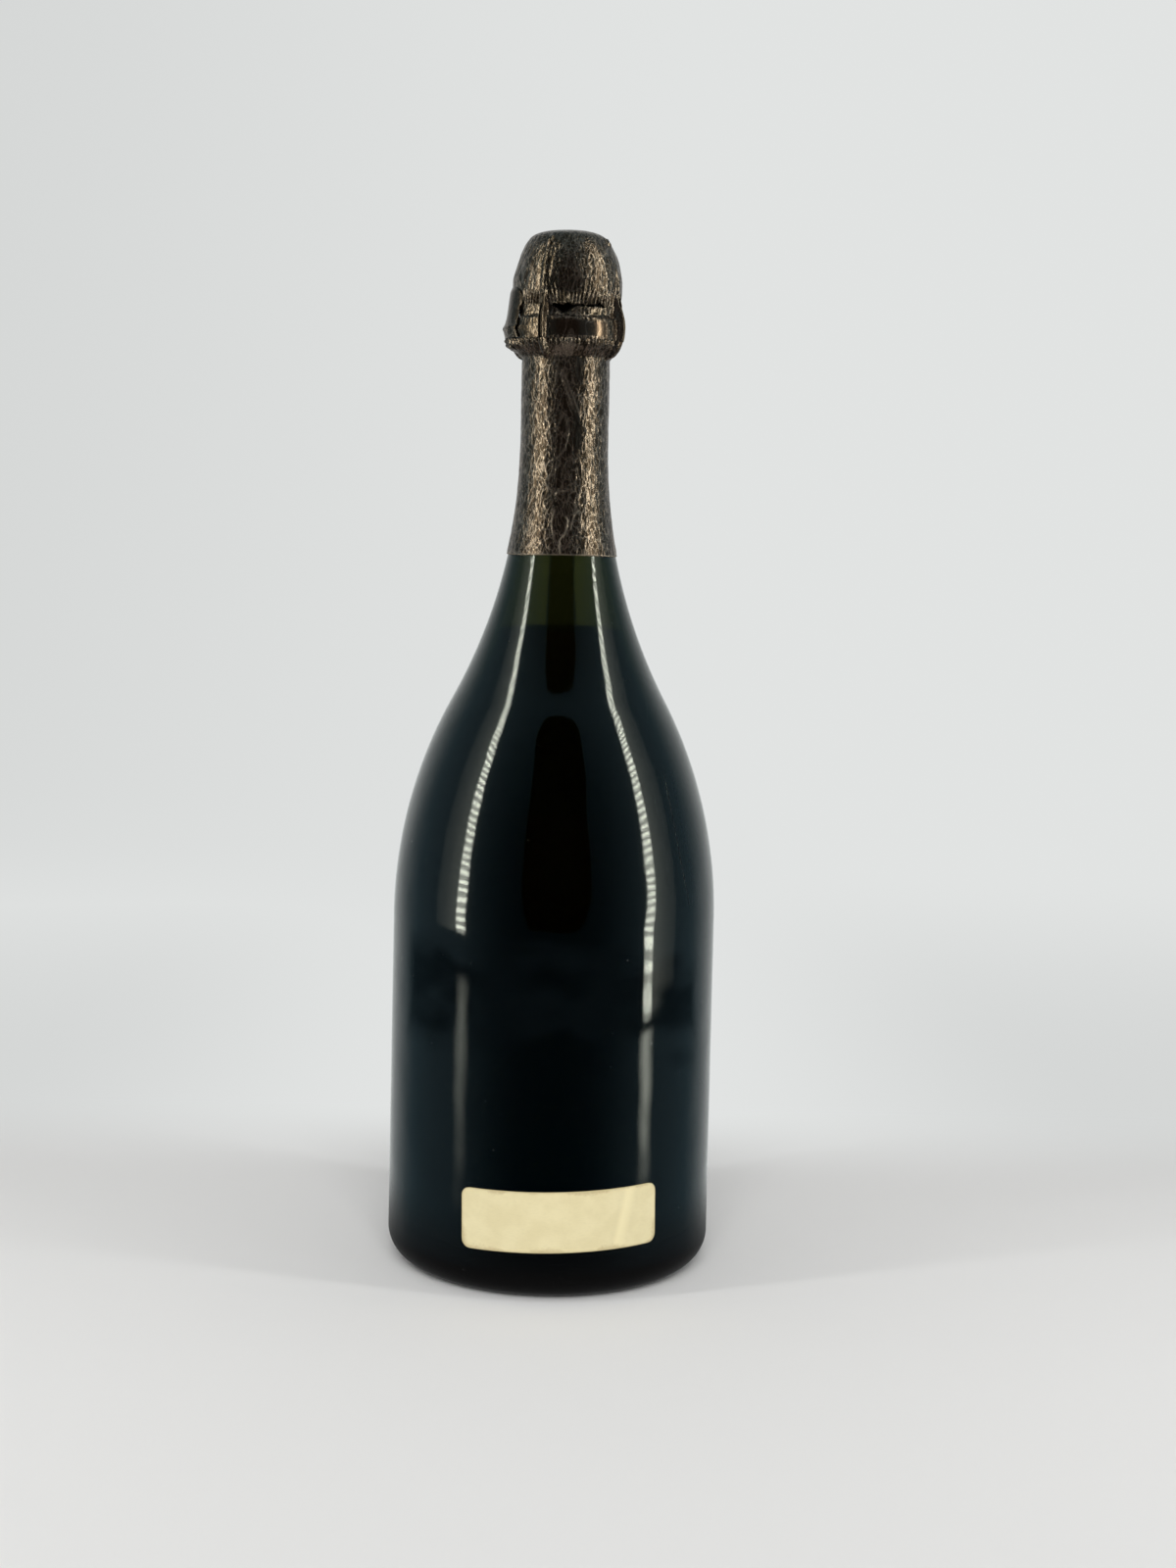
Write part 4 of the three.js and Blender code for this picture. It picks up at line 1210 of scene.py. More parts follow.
class BOTTLE_OT_cork(bpy.types.Operator):
    """Turn the cork's body, with the grooves that the wire presses into its head, and its two discs"""

    bl_idname = "bottle.cork"
    bl_label = "Cork"

    def execute(self, context):
        scene = context.scene
        cork = scene.bottle_cork
        radius = scene.bottle_glass.mouth_radius - CORK_CLEARANCE
        self.make_body(cork, radius)
        natural = natural_cork_material(cork)
        for index, name in enumerate(("stopper_disc_lower", "stopper_disc_upper")):
            low = CORK_FOOT + index * (cork.disc + GLUE_LINE)
            high = low + cork.disc
            inner = radius - DISC_CHAMFER
            outline = run((0, low), (inner, low), (radius, low + DISC_CHAMFER), (radius, high - DISC_CHAMFER),
                          (inner, high), (0, high))
            make_piece(name, turned(outline, DISC_COLUMNS), [natural])
        return {"FINISHED"}

    def make_body(self, cork, radius):
        """The cork above its discs: a straight foot in the neck, and the mushroom head with its grooves."""
        foot = CORK_FOOT + 2 * (cork.disc + GLUE_LINE)
        outline = run((0, foot), (radius, foot), even(np.array([(radius, foot), (radius, HEAD_FOOT)]), 30),
                      head_side(cork), (HEAD_TOP_RADIUS / 2, CORK_HEAD_TOP), (0, CORK_HEAD_TOP))

        def push(azimuth, height):
            """The grooves in the head, and the granules' uneven skin."""
            in_head = step(height, HEAD_FOOT, HEAD_FOOT + HEAD_BULGE / 2)
            groove = GROOVE_DEPTH * leg_ridges(azimuth, cork.head_radius, GROOVE_WIDTH) * in_head
            rise = (height - foot) / (CORK_HEAD_TOP - foot)
            skin = noise(azimuth / TURN, rise, (60, 26), 5) - 0.5
            return HEAD_SKIN * skin * in_head - groove

        make_piece("stopper_body", turned(outline, CORK_COLUMNS, push), [agglomerate_material(cork)])


class BOTTLE_OT_muselet(bpy.types.Operator):
    """Press the cap, twist the legs, and bend the crown, the belt and the eyelet"""

    bl_idname = "bottle.muselet"
    bl_label = "Muselet"

    def execute(self, context):
        scene = context.scene
        glass, cork, muselet = scene.bottle_glass, scene.bottle_cork, scene.bottle_muselet
        self.make_cap(muselet)
        wire = wire_material(muselet)
        self.make_frame(glass, cork, muselet, wire)
        self.make_belt(glass, muselet, wire)
        self.make_eyelet(glass, muselet, wire)
        return {"FINISHED"}

    def make_cap(self, muselet):
        """The cap's section: a dome with two raised rings, a flat rim and a short skirt, and the same
        again below at the sheet's thickness. Its rim dips under each leg."""
        dome = bend((0, CAP_TOP), (CAP_DOME * 0.8, CAP_TOP), (CAP_DOME, CAP_RIM), count=60)
        rings = [hill(dome[:, 0], share * CAP_DOME, CAP_RING_WIDTH) for share in (0.35, 0.7)]
        dome[:, 1] += CAP_RING_HEIGHT * sum(rings)
        dome[:, 1] -= CAP_DOME_SINK
        edge = muselet.cap_radius
        rim = run((edge - CAP_RIM_ROUND, CAP_RIM), (edge, CAP_RIM - CAP_RIM_ROUND),
                  (edge, CAP_RIM - CAP_SKIRT))
        top = run(dome, even(np.array([dome[-1], rim[0]]), 12), rim)
        below = top - CAP_SHEET
        below[:, 0] = np.maximum(below[:, 0], 0)
        below[-1, 1] = top[-1, 1]
        below = below[np.concatenate([[True], np.diff(below[:, 0]) >= 0])]
        first = np.argmax(below[:, 0] > 0)
        outline = run((0, below[first, 1]), below[first:], top[::-1])

        def push(azimuth, height):
            """Shallow notches in the rim under the legs."""
            on_rim = height < CAP_RIM + 0.1 * MM
            return -CAP_NOTCH_DEPTH * leg_ridges(azimuth, edge, CAP_NOTCH_WIDTH) * on_rim

        make_piece("cage_cap", turned(outline, CAP_COLUMNS, push), [cap_material(muselet)])

    def make_hoop(self, radius, height, muselet):
        """A level ring of wire."""
        path = polar(radius, azimuths(HOOP_COLUMNS), height)
        return tube(path, np.array([0, 0, 1.0]), muselet.wire_radius, closed=True)

    def make_frame(self, glass, cork, muselet, wire):
        """The crown on the cap and the four twisted legs."""
        shapes = [self.make_hoop(CROWN_RADIUS, CAP_RIM + SEAT_GAP + muselet.wire_radius, muselet)]
        route = leg_route(glass, cork, muselet)
        for k in range(LEG_COUNT):
            azimuth = LEG_AZIMUTH + k * TURN / LEG_COUNT
            path = polar(route[:, 0], azimuth, route[:, 1])
            shapes += twisted(path, polar(1, azimuth + TURN / 4, 0), muselet.leg_radius, LEG_TURNS)
        make_piece("cage_frame", joined(shapes), [wire])

    def make_belt(self, glass, muselet, wire):
        """The belt under the ring, and its twisted stub to the eyelet."""
        stub = stub_route(glass, muselet)
        path = polar(stub[:, 0], EYELET_AZIMUTH, stub[:, 1])
        shapes = [self.make_hoop(*belt_place(glass, muselet), muselet)]
        shapes += twisted(path, polar(1, EYELET_AZIMUTH + TURN / 4, 0), muselet.wire_radius, STEM_TURNS)
        make_piece("cage_belt", joined(shapes), [wire])

    def make_eyelet(self, glass, muselet, wire):
        """A twisted stem, and a loop that is an ellipse laid on a cone which leans in as it rises."""
        length = EYELET_STEM + EYELET_HEIGHT
        foot_radius = eyelet_radius(glass, muselet)

        def on_cone(across, rise):
            """Places on the cone, from the arc across it and the height above its foot."""
            radius = foot_radius - EYELET_LEAN * rise / length
            return polar(radius, EYELET_AZIMUTH + across / radius, EYELET_FOOT + rise)

        angle = azimuths(90)
        loop_foot = EYELET_STEM + muselet.wire_radius
        half_width = EYELET_WIDTH / 2 - muselet.wire_radius
        half_height = EYELET_HEIGHT / 2 - muselet.wire_radius
        loop = on_cone(half_width * np.sin(angle), loop_foot + half_height * (1 - np.cos(angle)))
        stem = on_cone(np.zeros(40), np.linspace(0, loop_foot + muselet.wire_radius, 40))
        outwards = polar(1, EYELET_AZIMUTH, 0)
        shapes = [tube(loop, outwards, muselet.wire_radius, closed=True)]
        shapes += twisted(stem, outwards, STEM_RADIUS, STEM_TURNS)
        make_piece("cage_eyelet", joined(shapes), [wire])


class BOTTLE_OT_foil(bpy.types.Operator):
    """Draw the crinkled foil over the closure: the hood, its tear tab and the collar"""

    bl_idname = "bottle.foil"
    bl_label = "Foil"

    def execute(self, context):
        scene = context.scene
        foil = scene.bottle_foil
        materials = [foil_material(foil), backing_material()]
        route = leg_route(scene.bottle_glass, scene.bottle_cork, scene.bottle_muselet)
        self.make_hood(foil, scene, route, materials)
        self.make_collar(foil, scene, route, materials)
        self.make_tab(foil, materials)
        return {"FINISHED"}

    def make_hood(self, foil, scene, route, materials):
        """The hood: a grid of its outline's rows and of azimuths that crowd at the legs, closed at the top
        by a fan, and cut out where the tear tab lies."""
        outline = hood_outline()
        hood = self.hood_masks(foil, scene.bottle_muselet, route, outline)
        radius = self.hood_radius(foil, scene, hood)
        grid = polar(radius * (hood.base > 0), hood.azimuth, hood.height + 0 * hood.azimuth)
        grid[..., 2] -= np.abs(TOP_DENT_DEPTH * (1 - hood.top) * hood.folds)
        grid[-1] = grid[-1].mean(0)
        points = np.concatenate([grid[:-1].reshape(-1, 3), grid[-1, :1]])
        top = len(points) - 1
        fours = grid_faces(len(outline) - 1, HOOD_COLUMNS)
        threes = fan(top, top - HOOD_COLUMNS + np.arange(HOOD_COLUMNS), False)
        middle = points[fours].mean(1)
        azimuth = np.arctan2(middle[:, 0], -middle[:, 1])
        across = apart(azimuth, EYELET_AZIMUTH) * np.hypot(*middle[:, :2].T)
        clear = np.abs(across) > tab_half_width(middle[:, 2], TAB_LAP)
        shape, used = kept((points, fours, threes), clear)
        values = {
            key: np.concatenate([value[:-1].ravel(), value[-1, :1]])[used]
            for key, value in self.hood_tones(hood, radius).items()
        }
        thicken(make_piece("hood_foil", shape, materials, values), FOIL_SHEET)

    def hood_masks(self, foil, muselet, route, outline):
        """The grid of the hood, and where each of its features is, mostly from 0 to 1: the ridge over each
        leg with the groove between its two wires, the crevice above the ring with its wide lens and its
        loop, the pleats above that, the smooth band over the ring, and the creases."""
        azimuth = crowded(HOOD_COLUMNS, 0.35)[None, :]
        base, height = outline[:, :1], outline[:, 1:]
        turn, rise = azimuth / TURN, along(outline)[:, None]
        from_front = apart(azimuth, 0)
        leg = reach(route, muselet.leg_radius + FOIL_SHEET + LEG_CLEARANCE, height)
        ridge = leg_ridges(azimuth, BAND_RADIUS, RIDGE_WIDTH, 4)
        over_leg = step(leg - base, 0, RIDGE_BLEND)
        front = between(from_front, -0.31, -0.24, 0.74, 0.8)
        lens, loop = hill(from_front, *LENS), hill(from_front, *LOOP)
        wobble = noise(turn, 0 * rise, (70, 1), foil.seed + 3) - 0.5
        uneven = noise(turn, 0 * rise, (90, 1), foil.seed + 5) - 0.5
        tall = (0.2 + 0.75 * lens + 0.25 * loop + 0.25 * uneven) * MM
        middle = WAIST + (1.6 - 0.85 * lens + 0.45 * loop + 0.5 * wobble) * MM
        pleated = between(height, WAIST + 1.8 * MM, FOLD - 0.4 * MM, FOLD, FOLD + 3.6 * MM)
        band = between(height, HOOD_RIM, HOOD_RIM + 0.8 * MM, BAND_TOP - 1 * MM, BAND_TOP)
        on_rope = ridge * over_leg * (height < ROPE_TOP)
        return SimpleNamespace(
            azimuth=azimuth, base=base, height=height, turn=turn, rise=rise, leg=leg,
            from_front=from_front, from_eyelet=apart(azimuth, EYELET_AZIMUTH),
            ridge=ridge, groove=leg_ridges(azimuth, BAND_RADIUS, STRAND_GROOVE), over_leg=over_leg,
            front=front, lens=lens, gap=front * hill(height, middle, tall), pleated=pleated, band=band,
            calm=1 - np.maximum(0.93 * band * (0.35 + 0.65 * front), 0.8 * on_rope),
            top=step(base, 0, TOP_BLEND), folds=crumple(turn, rise, foil.seed, HOOD_CELLS),
        )

    def hood_radius(self, foil, scene, hood):
        """The outline's radius, raised over the legs as a tent and over the eyelet as a swelling, cut by
        the crevice, sunk above the eyelet, pleated, dented and creased, and kept clear of what it covers."""
        azimuth, height = hood.azimuth, hood.height
        twist = np.cos(height / MM * 3.1 + 9 * np.sin(LEG_COUNT * (azimuth - LEG_AZIMUTH)))
        rope, cord = ROPE_DEPTH * (hood.ridge - hood.groove), CORD_DEPTH * hood.ridge * (1 + twist)
        strands = np.where(height < ROPE_TOP, rope, cord)
        tent = np.maximum(hood.leg - hood.base, 0) * hood.ridge + strands * hood.over_leg
        fade = 1 - step(height, TAB_TOP - 1 * MM, TAB_TOP + 4 * MM)
        under_tab = tab_radius(np.minimum(height, TAB_TOP)) - EYELET_CLEARANCE
        around = np.exp(-((hood.from_eyelet / SWELLING_WIDTH) ** 4))
        swelling = np.maximum(under_tab - hood.base, 0) * around * fade
        crevice = CREVICE_DEPTH * (1 + hood.lens) * hood.gap
        sunk = hill(height, SAG_HEIGHT, SAG_REACH) * hill(hood.from_eyelet, *SAG)
        sag = SAG_DEPTH * sunk * (1 - hood.ridge)
        uneven = noise(hood.turn, hood.rise, (8, 7), foil.seed + 8) - 0.5
        dents = DENT_DEPTH * uneven * step(height, FOLD, DOME_HIGH)
        slow = noise(hood.turn, hood.rise, (22, 5), foil.seed + 4)
        pleats = HOOD_PLEAT_DEPTH * hood.pleated * np.cos(HOOD_PLEATS * azimuth + 9 * slow)
        pushed = np.maximum(tent, swelling) - crevice - sag + pleats + dents * hood.top
        pushed = pushed + 0.85 * foil.crinkle * hood.folds * hood.calm * hood.top
        glass, cork = scene.bottle_glass, scene.bottle_cork
        on_glass = np.where(height < RING_TOP, radius_at(ring_side(glass), height), glass.lip_radius)
        on_cork = radius_at(head_side(cork), height) * (height < CORK_HEAD_TOP)
        carried = np.where(height < LIP_TOP, on_glass, on_cork)
        return np.maximum(hood.base + pushed, carried + FOIL_SHEET + COVER_GAP * (carried > 0))

    def hood_tones(self, hood, radius):
        """What the foil's material reads: crest_and_painted_shade follows the creases, is lowered for painted
        shade in the crevice, along the legs' flanks and in the groove between their wires, in the shade on
        the dome and the waist, under the loop and on the pleats, is lowered too along the seam beside the
        tab, and is raised for a painted sheen on the front of the band; cut_edge makes the flank of one leg
        paler and rougher; and fine fades the wrinkles out, and with them the painted highlights on their
        crests in the shaded places."""
        from_front, height = hood.from_front, hood.height
        flank = 4 * hood.ridge * (1 - hood.ridge) * hood.over_leg
        beside_tab = np.abs(hood.from_eyelet) * radius - tab_half_width(height)
        seam = hill(beside_tab, 0.1 * MM, 0.35 * MM) * (height < TAB_TOP - 1 * MM)
        line = hood.groove * hood.over_leg * (height < ROPE_TOP)
        shaded = hill(from_front, *DOME_SHADE) * step(height, FOLD, FOLD + 3 * MM)
        shaded = np.maximum(shaded, hill(from_front, *WAIST_SHADE) * (height < FOLD))
        loop_shade = hill(height, WAIST - 0.4 * MM, 1.1 * MM) * hill(from_front, *LOOP_SHADE)
        # Painted shade lowers crest_and_painted_shade in the crevice, along the legs' flanks and the groove
        # between their wires, in the shade on the dome and the waist, under the loop and on the pleats; a
        # painted sheen raises it on the front of the band
        crest_and_painted_shade = 0.38 + 0.45 * hood.folds * hood.calm - 2 * np.sqrt(hood.gap)
        crest_and_painted_shade = crest_and_painted_shade - 0.2 * flank - 0.9 * seam - 1.1 * line
        crest_and_painted_shade = crest_and_painted_shade - 0.4 * shaded + 0.25 * hood.band * hood.front - 0.9 * loop_shade
        crest_and_painted_shade = crest_and_painted_shade - 0.2 * hood.pleated * hood.front
        # Fading fine where the painted shade lies also takes out the painted highlights along the wrinkles'
        # crests
        smooth = hood.calm * (1 - np.maximum(0.5 * shaded, 0.7 * loop_shade))
        # cut_edge makes the flank of one leg paler and rougher
        rubbed = 0.4 * flank * hill(apart(hood.azimuth, PALE_FLANK_LEG[0]), 0, PALE_FLANK_LEG[1])
        return {"crest_and_painted_shade": crest_and_painted_shade, "cut_edge": rubbed, "fine": smooth}

    def make_collar(self, foil, scene, route, materials):
        """The collar's radius is its outline's, raised over the legs' feet and pinched over the eyelet's
        stub, with a crease under the tuck, fan pleats above it, and creases all over."""
        glass, muselet = scene.bottle_glass, scene.bottle_muselet
        outline = even(collar_outline(glass), COLLAR_ROWS)
        azimuth = azimuths(COLLAR_COLUMNS)[None, :]
        base, height = outline[:, :1], outline[:, 1:]
        turn, rise = azimuth / TURN, np.linspace(0, 1, COLLAR_ROWS)[:, None]
        from_eyelet, from_front = apart(azimuth, EYELET_AZIMUTH), apart(azimuth, 0)
        leg = reach(route, muselet.leg_radius + FOIL_SHEET, height)
        tent = np.maximum(leg - base, 0) * leg_ridges(azimuth, BAND_RADIUS, FOOT_RIDGE_WIDTH, 4)
        stub = reach(stub_route(glass, muselet), muselet.wire_radius + STUB_CLEARANCE, height)
        rope = 1 + 0.12 * np.sin((height - TUCK_FOOT) / MM * 4.2 + 14 * from_eyelet)
        pinch = np.maximum(stub - base, 0) * hill(from_eyelet, *PINCH) * rope
        tucked = step(height, TUCK_FOOT, TUCK_FOOT + TUCK_BLEND)
        slow = noise(turn, rise, (26, 12), foil.seed + 44)
        pleats = COLLAR_PLEAT_DEPTH * tucked * np.cos(COLLAR_PLEATS * azimuth + 10 * slow)
        crease = TUCK_CREASE_DEPTH * hill(height, TUCK_FOOT + TUCK_CREASE, TUCK_CREASE)
        folds = crumple(turn, rise, foil.seed + 100, COLLAR_CELLS)
        above_foot = 0.35 + 0.65 * step(height, COLLAR_FOOT, COLLAR_FOOT + 1.2 * MM)
        lift = np.maximum(0.6 * foil.crinkle * folds * above_foot, -DEEPEST_CREASE)
        across = from_front * base
        cracks = np.max([force * near_line(across, height, np.array(line) * MM) for force, line in CRACKS], 0)
        pushed = np.maximum(tent, pinch) + pleats - crease + lift + CRACK_DEPTH * cracks
        wave = CUT_WAVE * np.sin(3 * azimuth + 1) * (1 - rise) ** 8
        grid = polar(base + pushed, azimuth, height + wave)
        edge = np.maximum(cracks, np.clip(1 - (height - COLLAR_FOOT) / CUT_EDGE, 0, 1))
        drawn = hill(from_front, *DRAWN) * step(height, DRAWN_LOW, DRAWN_HIGH)
        fine = 1 - 0.75 * drawn * step(noise(turn, rise, (12, 8), foil.seed + 60), 0.1, 0.3)
        # Painted shade: crest_and_painted_shade is lowered on the front of the tuck
        crest_and_painted_shade = 0.5 + 0.45 * folds - 0.45 * tucked * hill(from_front, *TUCK_SHADE)
        values = {"crest_and_painted_shade": crest_and_painted_shade, "cut_edge": edge, "fine": fine}
        make_sheet("collar_foil", grid, materials, values, FOIL_SHEET, wrap=True)

    def make_tab(self, foil, materials):
        """The tear tab: across its width it falls away as a square, up its height it follows its belly,
        and its edge is pressed down onto the hood."""
        height = np.linspace(TAB_FOOT, TAB_TOP - 0.02 * MM, TAB_ROWS)[:, None]
        share = np.linspace(-1, 1, TAB_COLUMNS)[None, :]
        climb = (height - TAB_FOOT) / (TAB_TOP - TAB_FOOT)
        ragged = TAB_RAGGED * (noise((share + 1) / 4, climb, (4, 9), foil.seed + 70) - 0.5)
        across = share * (np.maximum(tab_half_width(height), 0.3 * MM) + ragged * np.abs(share))
        fall = TAB_FALL * (across / (TAB_WIDTH / 2)) ** 2
        press = TAB_PRESS * np.abs(share) ** 12
        radius = tab_radius(height) - fall - press
        azimuth = EYELET_AZIMUTH + across / radius
        outline = hood_outline()
        rise = np.interp(height, outline[:, 1], along(outline))
        folds = crumple(azimuth / TURN % 1, rise, foil.seed, HOOD_CELLS)
        rough = 1 - 0.75 * step(height, TAB_SMOOTH_LOW, TAB_SMOOTH_HIGH) + 0 * across
        grid = polar(radius + 0.7 * foil.crinkle * folds * rough, azimuth, height + 0 * across)
        # Painted shade: crest_and_painted_shade falls along the tab's side edges
        crest_and_painted_shade = 0.5 + 0.45 * folds - 1.2 * np.abs(share) ** 24
        values = {"crest_and_painted_shade": crest_and_painted_shade, "cut_edge": 0 * crest_and_painted_shade, "fine": rough}
        make_sheet("tear_tab_foil", grid, materials, values, FOIL_SHEET)


class BOTTLE_OT_label(bpy.types.Operator):
    """Paste the bare back label round the side of the glass"""

    bl_idname = "bottle.label"
    bl_label = "Back Label"

    def execute(self, context):
        """A sheet on the glass: its rows are shorter at the round corners, it is turned by its tilt in its
        own plane, its edges lift a hair, and it has a slanting crease with a painted highlight, paler paper,
        on the fold beside it."""
        label, glass = context.scene.bottle_label, context.scene.bottle_glass
        half_height = label.height / 2
        around = math.asin(label.width / 2 / glass.foot_radius) * glass.foot_radius
        up = np.linspace(-1, 1, LABEL_ROWS)[:, None] * label.height / 2
        share = np.linspace(-1, 1, LABEL_COLUMNS)[None, :]
        place = (share + 1) / 2, (up + half_height) / label.height
        over = np.maximum(np.abs(up) - (half_height - label.corner), 0)
        inwards = label.corner - np.sqrt(np.maximum(label.corner**2 - over**2, 0))
        across = share * (around - inwards)
        to_edge = np.minimum(around - inwards - np.abs(across), half_height - np.abs(up))
        ragged = PAPER_RAGGED * (noise(*place, (70, 30), 8) - 0.5) * (np.abs(share) > 0.98)
        tilted = up * math.cos(label.tilt) + across * math.sin(label.tilt) + ragged
        moved = across * math.cos(label.tilt) - up * math.sin(label.tilt)
        height = label.foot + half_height + tilted
        slanted = across - FOLD_SLANT * up
        start, ridge, end = 0.55 * around, 0.62 * around, 0.74 * around
        lift = PAPER_LIFT * (hill(to_edge, 0, 0.6 * MM) + hill(slanted, ridge, 0.7 * MM))
        radius = radius_at(glass_side(glass), height) + PASTE + PAPER_SHEET + lift
        grid = polar(radius, label.azimuth + moved / radius, height)
        stained = step(noise(*place, (11, 4), 21), 0.5, 0.75)
        rim = np.exp(-to_edge / ((0.8 + 1.8 * stained) * MM))
        # fold holds the painted highlight beside the crease
        fold = 0.8 * between(slanted, start, ridge, ridge, end)
        values = {"rim": rim, "fold": fold}
        make_sheet("back_label_paper", grid, [paper_material(label)], values, PAPER_SHEET)
        return {"FINISHED"}


# Studio


class BOTTLE_OT_stage(bpy.types.Operator):
    """Set up the pale floor and backdrop, the light strips, the dark flags and the camera"""

    bl_idname = "bottle.stage"
    bl_label = "Studio"

    def execute(self, context):
        scene = context.scene
        stage = scene.bottle_stage
        scene.view_settings.view_transform = "Standard"
        self.make_sweep(stage)
        self.make_flags()
        self.make_world(scene, stage)
        for strip in STRIPS:
            self.make_strip(stage, **strip)
        self.make_light("front_light", (1.2, 1.2), stage.front_power, (0, -1.8, 1.35), (0, 0, 0.1))
        self.make_camera(scene, stage)
        return {"FINISHED"}

    def make_card(self, name, points, faces, material, reflected=False):
        """A surface that belongs to the studio, which may show in reflections alone."""
        mesh = bpy.data.meshes.new(name)
        mesh.from_pydata(points, [], faces)
        mesh.materials.append(material)
        card = bpy.data.objects.new(name, mesh)
        bpy.context.scene.collection.objects.link(card)
        if reflected:
            card.visible_camera = card.visible_diffuse = False
            card.visible_shadow = card.visible_transmission = False
        return card

    def make_sweep(self, stage):
        """A floor that runs back and curves up into a wall: a level line, a quarter circle and an upright
        line, drawn out sideways."""
        half, front, wall, bend_radius, top = 3.0, -3.0, 1.6, 0.5, 2.6
        curve = arc((wall - bend_radius, bend_radius), bend_radius, -math.pi / 2, 0, 24)
        outline = run((front, 0), curve, (wall, top))
        across = np.array([half, -half])[None, :]
        grid = np.stack(np.broadcast_arrays(across, outline[:, :1], outline[:, 1:]), -1)
        faces = grid_faces(len(outline), 2, wrap_columns=False)[:, ::-1]
        sweep = self.make_card("studio_sweep", grid.reshape(-1, 3).tolist(), faces.tolist(),
                               self.sweep_material(stage))
        sweep.data.polygons.foreach_set("use_smooth", np.ones(len(faces), bool))
        sweep.visible_glossy = False

    def sweep_material(self, stage):
        """A pale matt floor near the bottle, which turns into an even glow away from it. The glow is darkened
        as painted shade far back on the left, and as a painted shadow beside the bottle just behind it."""
        material, tree, place = new_material("studio_sweep")
        floor = put(tree, "ShaderNodeBsdfPrincipled", Base_Color=stage.floor, Roughness=0.4,
                    Specular_IOR_Level=0).outputs[0]
        at = axes(tree, place)
        sideways = maths(tree, "ABSOLUTE", at["X"])
        painted_shade_far_left = product(tree, ranged(tree, at["X"], 0.2, -0.75), ranged(tree, at["Y"], 0.3, 0.9))
        # beside is a painted shadow on the glow, beside the bottle just behind it
        beside = product(tree, ranged(tree, sideways, 0.05, 0.22), ranged(tree, sideways, 0.9, 0.35),
                         ranged(tree, at["Y"], -0.1, 0.05), ranged(tree, at["Y"], 0.8, 0.2))
        tone = mixed(tree, largest(tree, painted_shade_far_left, beside), stage.backdrop, shade(stage.backdrop, 0.88))
        glow = put(tree, "ShaderNodeEmission", Color=tone).outputs[0]
        path = tree.nodes.new("ShaderNodeLightPath").outputs
        seen = largest(tree, path["Is Camera Ray"], path["Is Glossy Ray"], path["Is Transmission Ray"])
        away = largest(tree, ranged(tree, at["Y"], 0.07, 0.17), ranged(tree, at["Y"], -0.22, -0.42),
                       ranged(tree, sideways, 0.16, 0.42))
        surface = mixed_shader(tree, product(tree, seen, away), floor, glow)
        put(tree, "ShaderNodeOutputMaterial", Surface=surface)
        return material

    def make_flags(self):
        """A black card with round corners behind the camera and a dark disc under the bottle, which only
        reflections see, and a dim strip behind the neck, which only light through the glass sees."""
        left, right, low, high, corner, far = -0.3, 0.34, 0.01, 1.0, 0.14, -0.74
        centres = ((right - corner, low + corner, -0.25), (right - corner, high - corner, 0),
                   (left + corner, high - corner, 0.25), (left + corner, low + corner, 0.5))
        edge = np.concatenate([arc((x, z), corner, at * TURN, (at + 0.25) * TURN, 8) for x, z, at in centres])
        edge = np.insert(edge, 1, far, axis=1).tolist()
        black = self.glow_material("black_flag", 0)
        self.make_card("front_flag", edge, [range(len(edge))], black, reflected=True)
        disc = polar(SHADOW_RADIUS, azimuths(48), 0.5 * MM).tolist()
        self.make_card("foot_shadow", disc, [range(len(disc))], self.shadow_material(), reflected=True)
        half, back, low, high = 0.0065, 0.055, 0.12, 0.27
        corners = [(-half, back, low), (half, back, low), (half, back, high), (-half, back, high)]
        card = self.make_card("back_flag", corners, [range(4)], self.glow_material("back_flag", 0.18))
        card.visible_camera = card.visible_diffuse = card.visible_shadow = card.visible_glossy = False

    def glow_material(self, name, strength):
        """A plain card that glows with an even strength."""
        material, tree, _ = new_material(name)
        glow = put(tree, "ShaderNodeEmission", Strength=strength)
        put(tree, "ShaderNodeOutputMaterial", Surface=glow.outputs[0])
        return material

    def shadow_material(self):
        """A disc with a dim glow that turns clear from its middle to its rim."""
        material, tree, place = new_material("foot_shadow")
        out = put(tree, "ShaderNodeVectorMath", {"operation": "LENGTH"}, place).outputs["Value"]
        dim = put(tree, "ShaderNodeEmission", Strength=0.1).outputs[0]
        clear = tree.nodes.new("ShaderNodeBsdfTransparent").outputs[0]
        surface = mixed_shader(tree, ranged(tree, out, 0.045, SHADOW_RADIUS), dim, clear)
        put(tree, "ShaderNodeOutputMaterial", Surface=surface)
        return material

